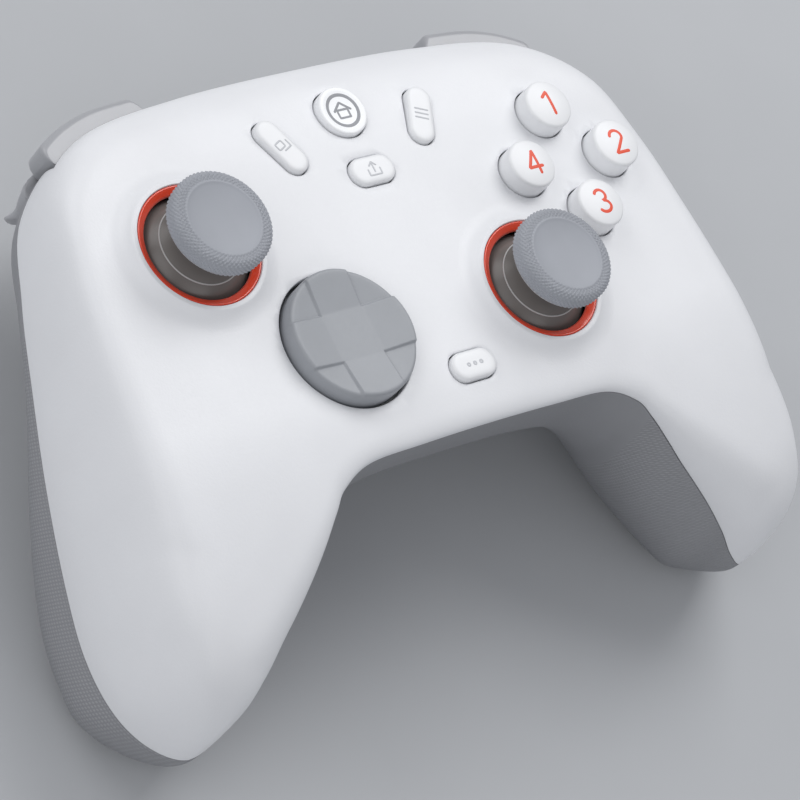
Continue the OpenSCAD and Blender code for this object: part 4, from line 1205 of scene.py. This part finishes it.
NUMERALS = {
    "1": [[(-0.95, 1.15), (0.15, 1.9), (0.15, -1.9)]],
    "2": [np.vstack([arc(0, 0.85, 1.12, 1.05, 165, -25), [(-1.12, -1.9), (1.2, -1.9)]])],
    "3": [np.vstack([arc(0, 0.95, 1.0, 0.95, 150, -90), arc(0, -0.95, 1.15, 0.95, 90, -150)])],
    "4": [[(0.55, -1.9), (0.55, 1.9), (-1.25, -0.85), (1.3, -0.85)]],
}
INK_W, INK_RISE, INK_SIZE = 0.62, 0.02, 1.16
for name, digit in (("north", "1"), ("east", "2"), ("south", "3"), ("west", "4")):
    at = face_places()[name]
    body = f"face_button_{name}"
    piece(f"button_{name}", moved(face_button(), at), "white_key", body, [body], sharp=40)
    ink = join(*[stroke(np.array(s) * INK_SIZE, INK_W, crown, INK_RISE) for s in NUMERALS[digit]])
    piece(f"numeral_{name}", moved(ink, at), "orange_ink", body, sharp=60)

# Small keys
KEY_TOP = -0.6
KEY_RINGS = [(0.0, -6.0), (0.0, -1.35), (0.03, -1.1), (0.12, -0.9), (0.28, -0.75), (0.5, -0.67), (0.85, -0.62),
             (1.4, -0.6), (1.9, -0.6)]
KEY_FLANGE = [(-0.8, -6.0), (-0.8, -5.0)]
MARK_W, MARK_RISE = 0.32, 0.05


def pill_key(length, width, turn):
    def ring(inset, z):
        return level(turned(stadium(length - 2 * inset, width - 2 * inset, 64), turn), z)
    cap = tube([ring(i, z) for i, z in KEY_RINGS])
    flange = tube([ring(i, z) for i, z in KEY_FLANGE])
    leg = lathe([(0, -12.9), (1.5, -12.9), (1.5, -5.5), (0, -5.5)], steps=32)
    return join(cap, flange, leg)


def key_ground(x, _):
    return np.full(np.shape(x), KEY_TOP)


def marks(lines, turn):
    return join(*[stroke(turned(p, turn), MARK_W, key_ground, MARK_RISE, closed=c) for p, c in lines])


# Lines of each key's sign, whether each line is closed, and how far the sign is turned.
KEY_SIGNS = {
    "view_button": ([(looped(eased(box_corners(-1.3, -0.35, 0.35, 1.0), (0.25,) * 4, 3, closed=True)), True),
                     ([(-0.35, -0.95), (1.3, -0.95), (1.3, 0.4)], False)], VIEW_TURN),
    "menu_button": ([([(-1.25, y), (1.25, y)], False) for y in (-0.9, 0, 0.9)], -VIEW_TURN),
    "share_button": ([([(-1.3, -0.1), (-1.3, -1.2), (1.3, -1.2), (1.3, -0.1)], False),
                      ([(0, -0.6), (0, 1.3)], False),
                      ([(-0.7, 0.65), (0, 1.35), (0.7, 0.65)], False)], 0),
    "mode_button": ([(looped(arc(x, 0, 0.28, 0.28, 0, 330, 12)), True) for x in (-1.4, 0, 1.4)], 0),
}
for name, (at, size, turn) in KEY_PLACES.items():
    piece(f"{name}_key", moved(pill_key(*size, turn), at), "white_key", name, [name])
    piece(f"{name}_mark", moved(marks(*KEY_SIGNS[name]), at), "faint_ink", name, sharp=60)

# Home key: a pale raised ring round a dished disc with a plain house sign.
HOME_R = 4.8
DISH_R, DISH_TOP = 28.0, -0.9


def dish(x, y):
    return DISH_TOP + DISH_R - np.sqrt(DISH_R ** 2 - x ** 2 - y ** 2)


def home_key():
    disc = [(r, float(dish(r, 0))) for r in np.linspace(0, 3.85, 8)]
    side = eased([disc[-1], (3.95, -0.62), (HOME_R, -0.62), (HOME_R, -5.6), (5.6, -5.6), (5.6, -6.6),
                  (1.5, -6.6), (1.5, -12.9), (0, -12.9)], (0, 0.14, 0.4, 0, 0, 0, 0, 0.2, 0), 6)
    return lathe([*disc[:-1], *side])


piece("home_key", moved(home_key(), HOME), "white_ring", "home_button", ["home_button"],
      sharp=40)
roundel = stroke(looped(arc(0, 0, 3.1, 3.1, 0, 355, 72)), 0.62, dish, 0.02, closed=True)
walls = stroke(looped(box_corners(-1.15, -1.35, 1.15, 0.25)), 0.42, dish, 0.02, closed=True)
roof = stroke([(-1.75, 0.1), (0, 1.65), (1.75, 0.1)], 0.46, dish, 0.024)
piece("home_sign", moved(join(roundel, walls, roof), HOME), "grey_ink", "home_button", sharp=60)

# Charging socket: a drawn steel sleeve round a flat tongue.
USB_SLEEVE = [(0, 58.0), (0, 63.25), (0.15, 63.4), (0.3, 63.25), (0.3, 59.0)]
USB_TONGUE = [(1, 58.8), (1, 62.5), (0.94, 62.7)]


def usb_socket():
    sleeve = tube([upright(usb_outline(inset), y, USB_Z) for inset, y in USB_SLEEVE])
    blade = eased(box_corners(-3.35, -0.35, 3.35, 0.35), (0.12,) * 4, 3, closed=True)
    tongue = tube([upright(blade * grow, y, USB_Z) for grow, y in USB_TONGUE])
    return join(sleeve, painted(tongue, 1))


piece("charging_socket", usb_socket(), ["steel", "dark_plastic"], BODY, ["usb_receptacle"])

# Nodes that keep their CAD shape


def sided(*names):
    return [f"{side}_{name}" for name in names for side in ("left", "right")]


KEPT = {
    "steel": ["dpad_ball", "shell_screws", "board_screws",
              *sided("trigger_pin", "trigger_spring", "stick_lever", "stick_housing", "rumble_motor")],
    "dark_plastic": ["tact_switches", "bumper_switches", *sided("stick_hub", "stick_yoke", "rumble_weight")],
    "dark_rubber": ["dpad_membrane", *(f"face_dome_{name}" for name in face_places())],
    "pcb": ["main_board"],
    "wrap": ["battery"],
}
for look, names in KEPT.items():
    for name in names:
        mesh = cad_nodes[name].data
        mesh.materials.clear()
        mesh.materials.append(LOOKS[look])

# Stage: a plain pale floor, soft light, and the camera where the photograph was taken from.
FLOOR_HALF, FLOOR_GAP = 3.0, 0.0003
AIM = Vector((0, 0, 0.03))
CAMERA_AT = np.array([-398.3, -147.6, 463.9])
CAMERA_RIGHT, CAMERA_DOWN = Vector((0.7563, -0.4447, 0.4799)), Vector((-0.222, -0.8644, -0.451))
CAMERA_FORWARD = Vector((0.6154, 0.2346, -0.7525))
LENS, SENSOR = 166.5, 36
SKY, SKY_STRENGTH = (0.93, 0.95, 1.0, 1.0), 0.36


def floor():
    mesh = bpy.data.meshes.new("floor")
    corners = level(box_corners(-FLOOR_HALF, -FLOOR_HALF, FLOOR_HALF, FLOOR_HALF), 0)
    mesh.from_pydata(corners.tolist(), [], [(0, 1, 2, 3)])
    look = Look("floor_paint", 0.7, specular=0.2)
    look.colour(look.ramp(look.noise(60, 3), (0.3, srgb(188, 190, 193)), (0.7, srgb(192, 194, 197))))
    mesh.materials.append(look.material)
    obj = placed("floor", mesh)
    obj.location = (0, 0, cad_low.z - FLOOR_GAP)


def lamp(name, place, size, power):
    data = bpy.data.lights.new(name, "AREA")
    data.shape = "RECTANGLE"
    data.size, data.size_y = size
    data.energy = power
    obj = placed(name, data)
    obj.location = place
    obj.rotation_euler = (AIM - Vector(place)).to_track_quat("-Z", "Y").to_euler()


def camera():
    data = bpy.data.cameras.new("camera")
    data.sensor_width, data.lens = SENSOR, LENS
    data.clip_end = 20
    obj = placed("camera", data)
    turn = Matrix((CAMERA_RIGHT, -CAMERA_DOWN, -CAMERA_FORWARD)).transposed()
    obj.matrix_world = Matrix.Translation(Vector((CAMERA_AT + OFFSET) * MM)) @ turn.to_4x4()
    bpy.context.scene.camera = obj


floor()
lamp("key", (0.55, 0.45, 0.85), (0.7, 0.7), 5.9)
lamp("fill", (-0.35, 0.75, 0.55), (0.6, 0.5), 1.9)
lamp("side", (-0.85, 0.05, 0.55), (0.8, 0.6), 2.2)
lamp("front", (-0.2, -0.8, 0.5), (0.8, 0.4), 1.3)
camera()
world = bpy.data.worlds.new("studio")
world.use_nodes = True
background = world.node_tree.nodes["Background"]
background.inputs["Color"].default_value = SKY
background.inputs["Strength"].default_value = SKY_STRENGTH
bpy.context.scene.world = world
bpy.context.scene.view_settings.view_transform = "Standard"
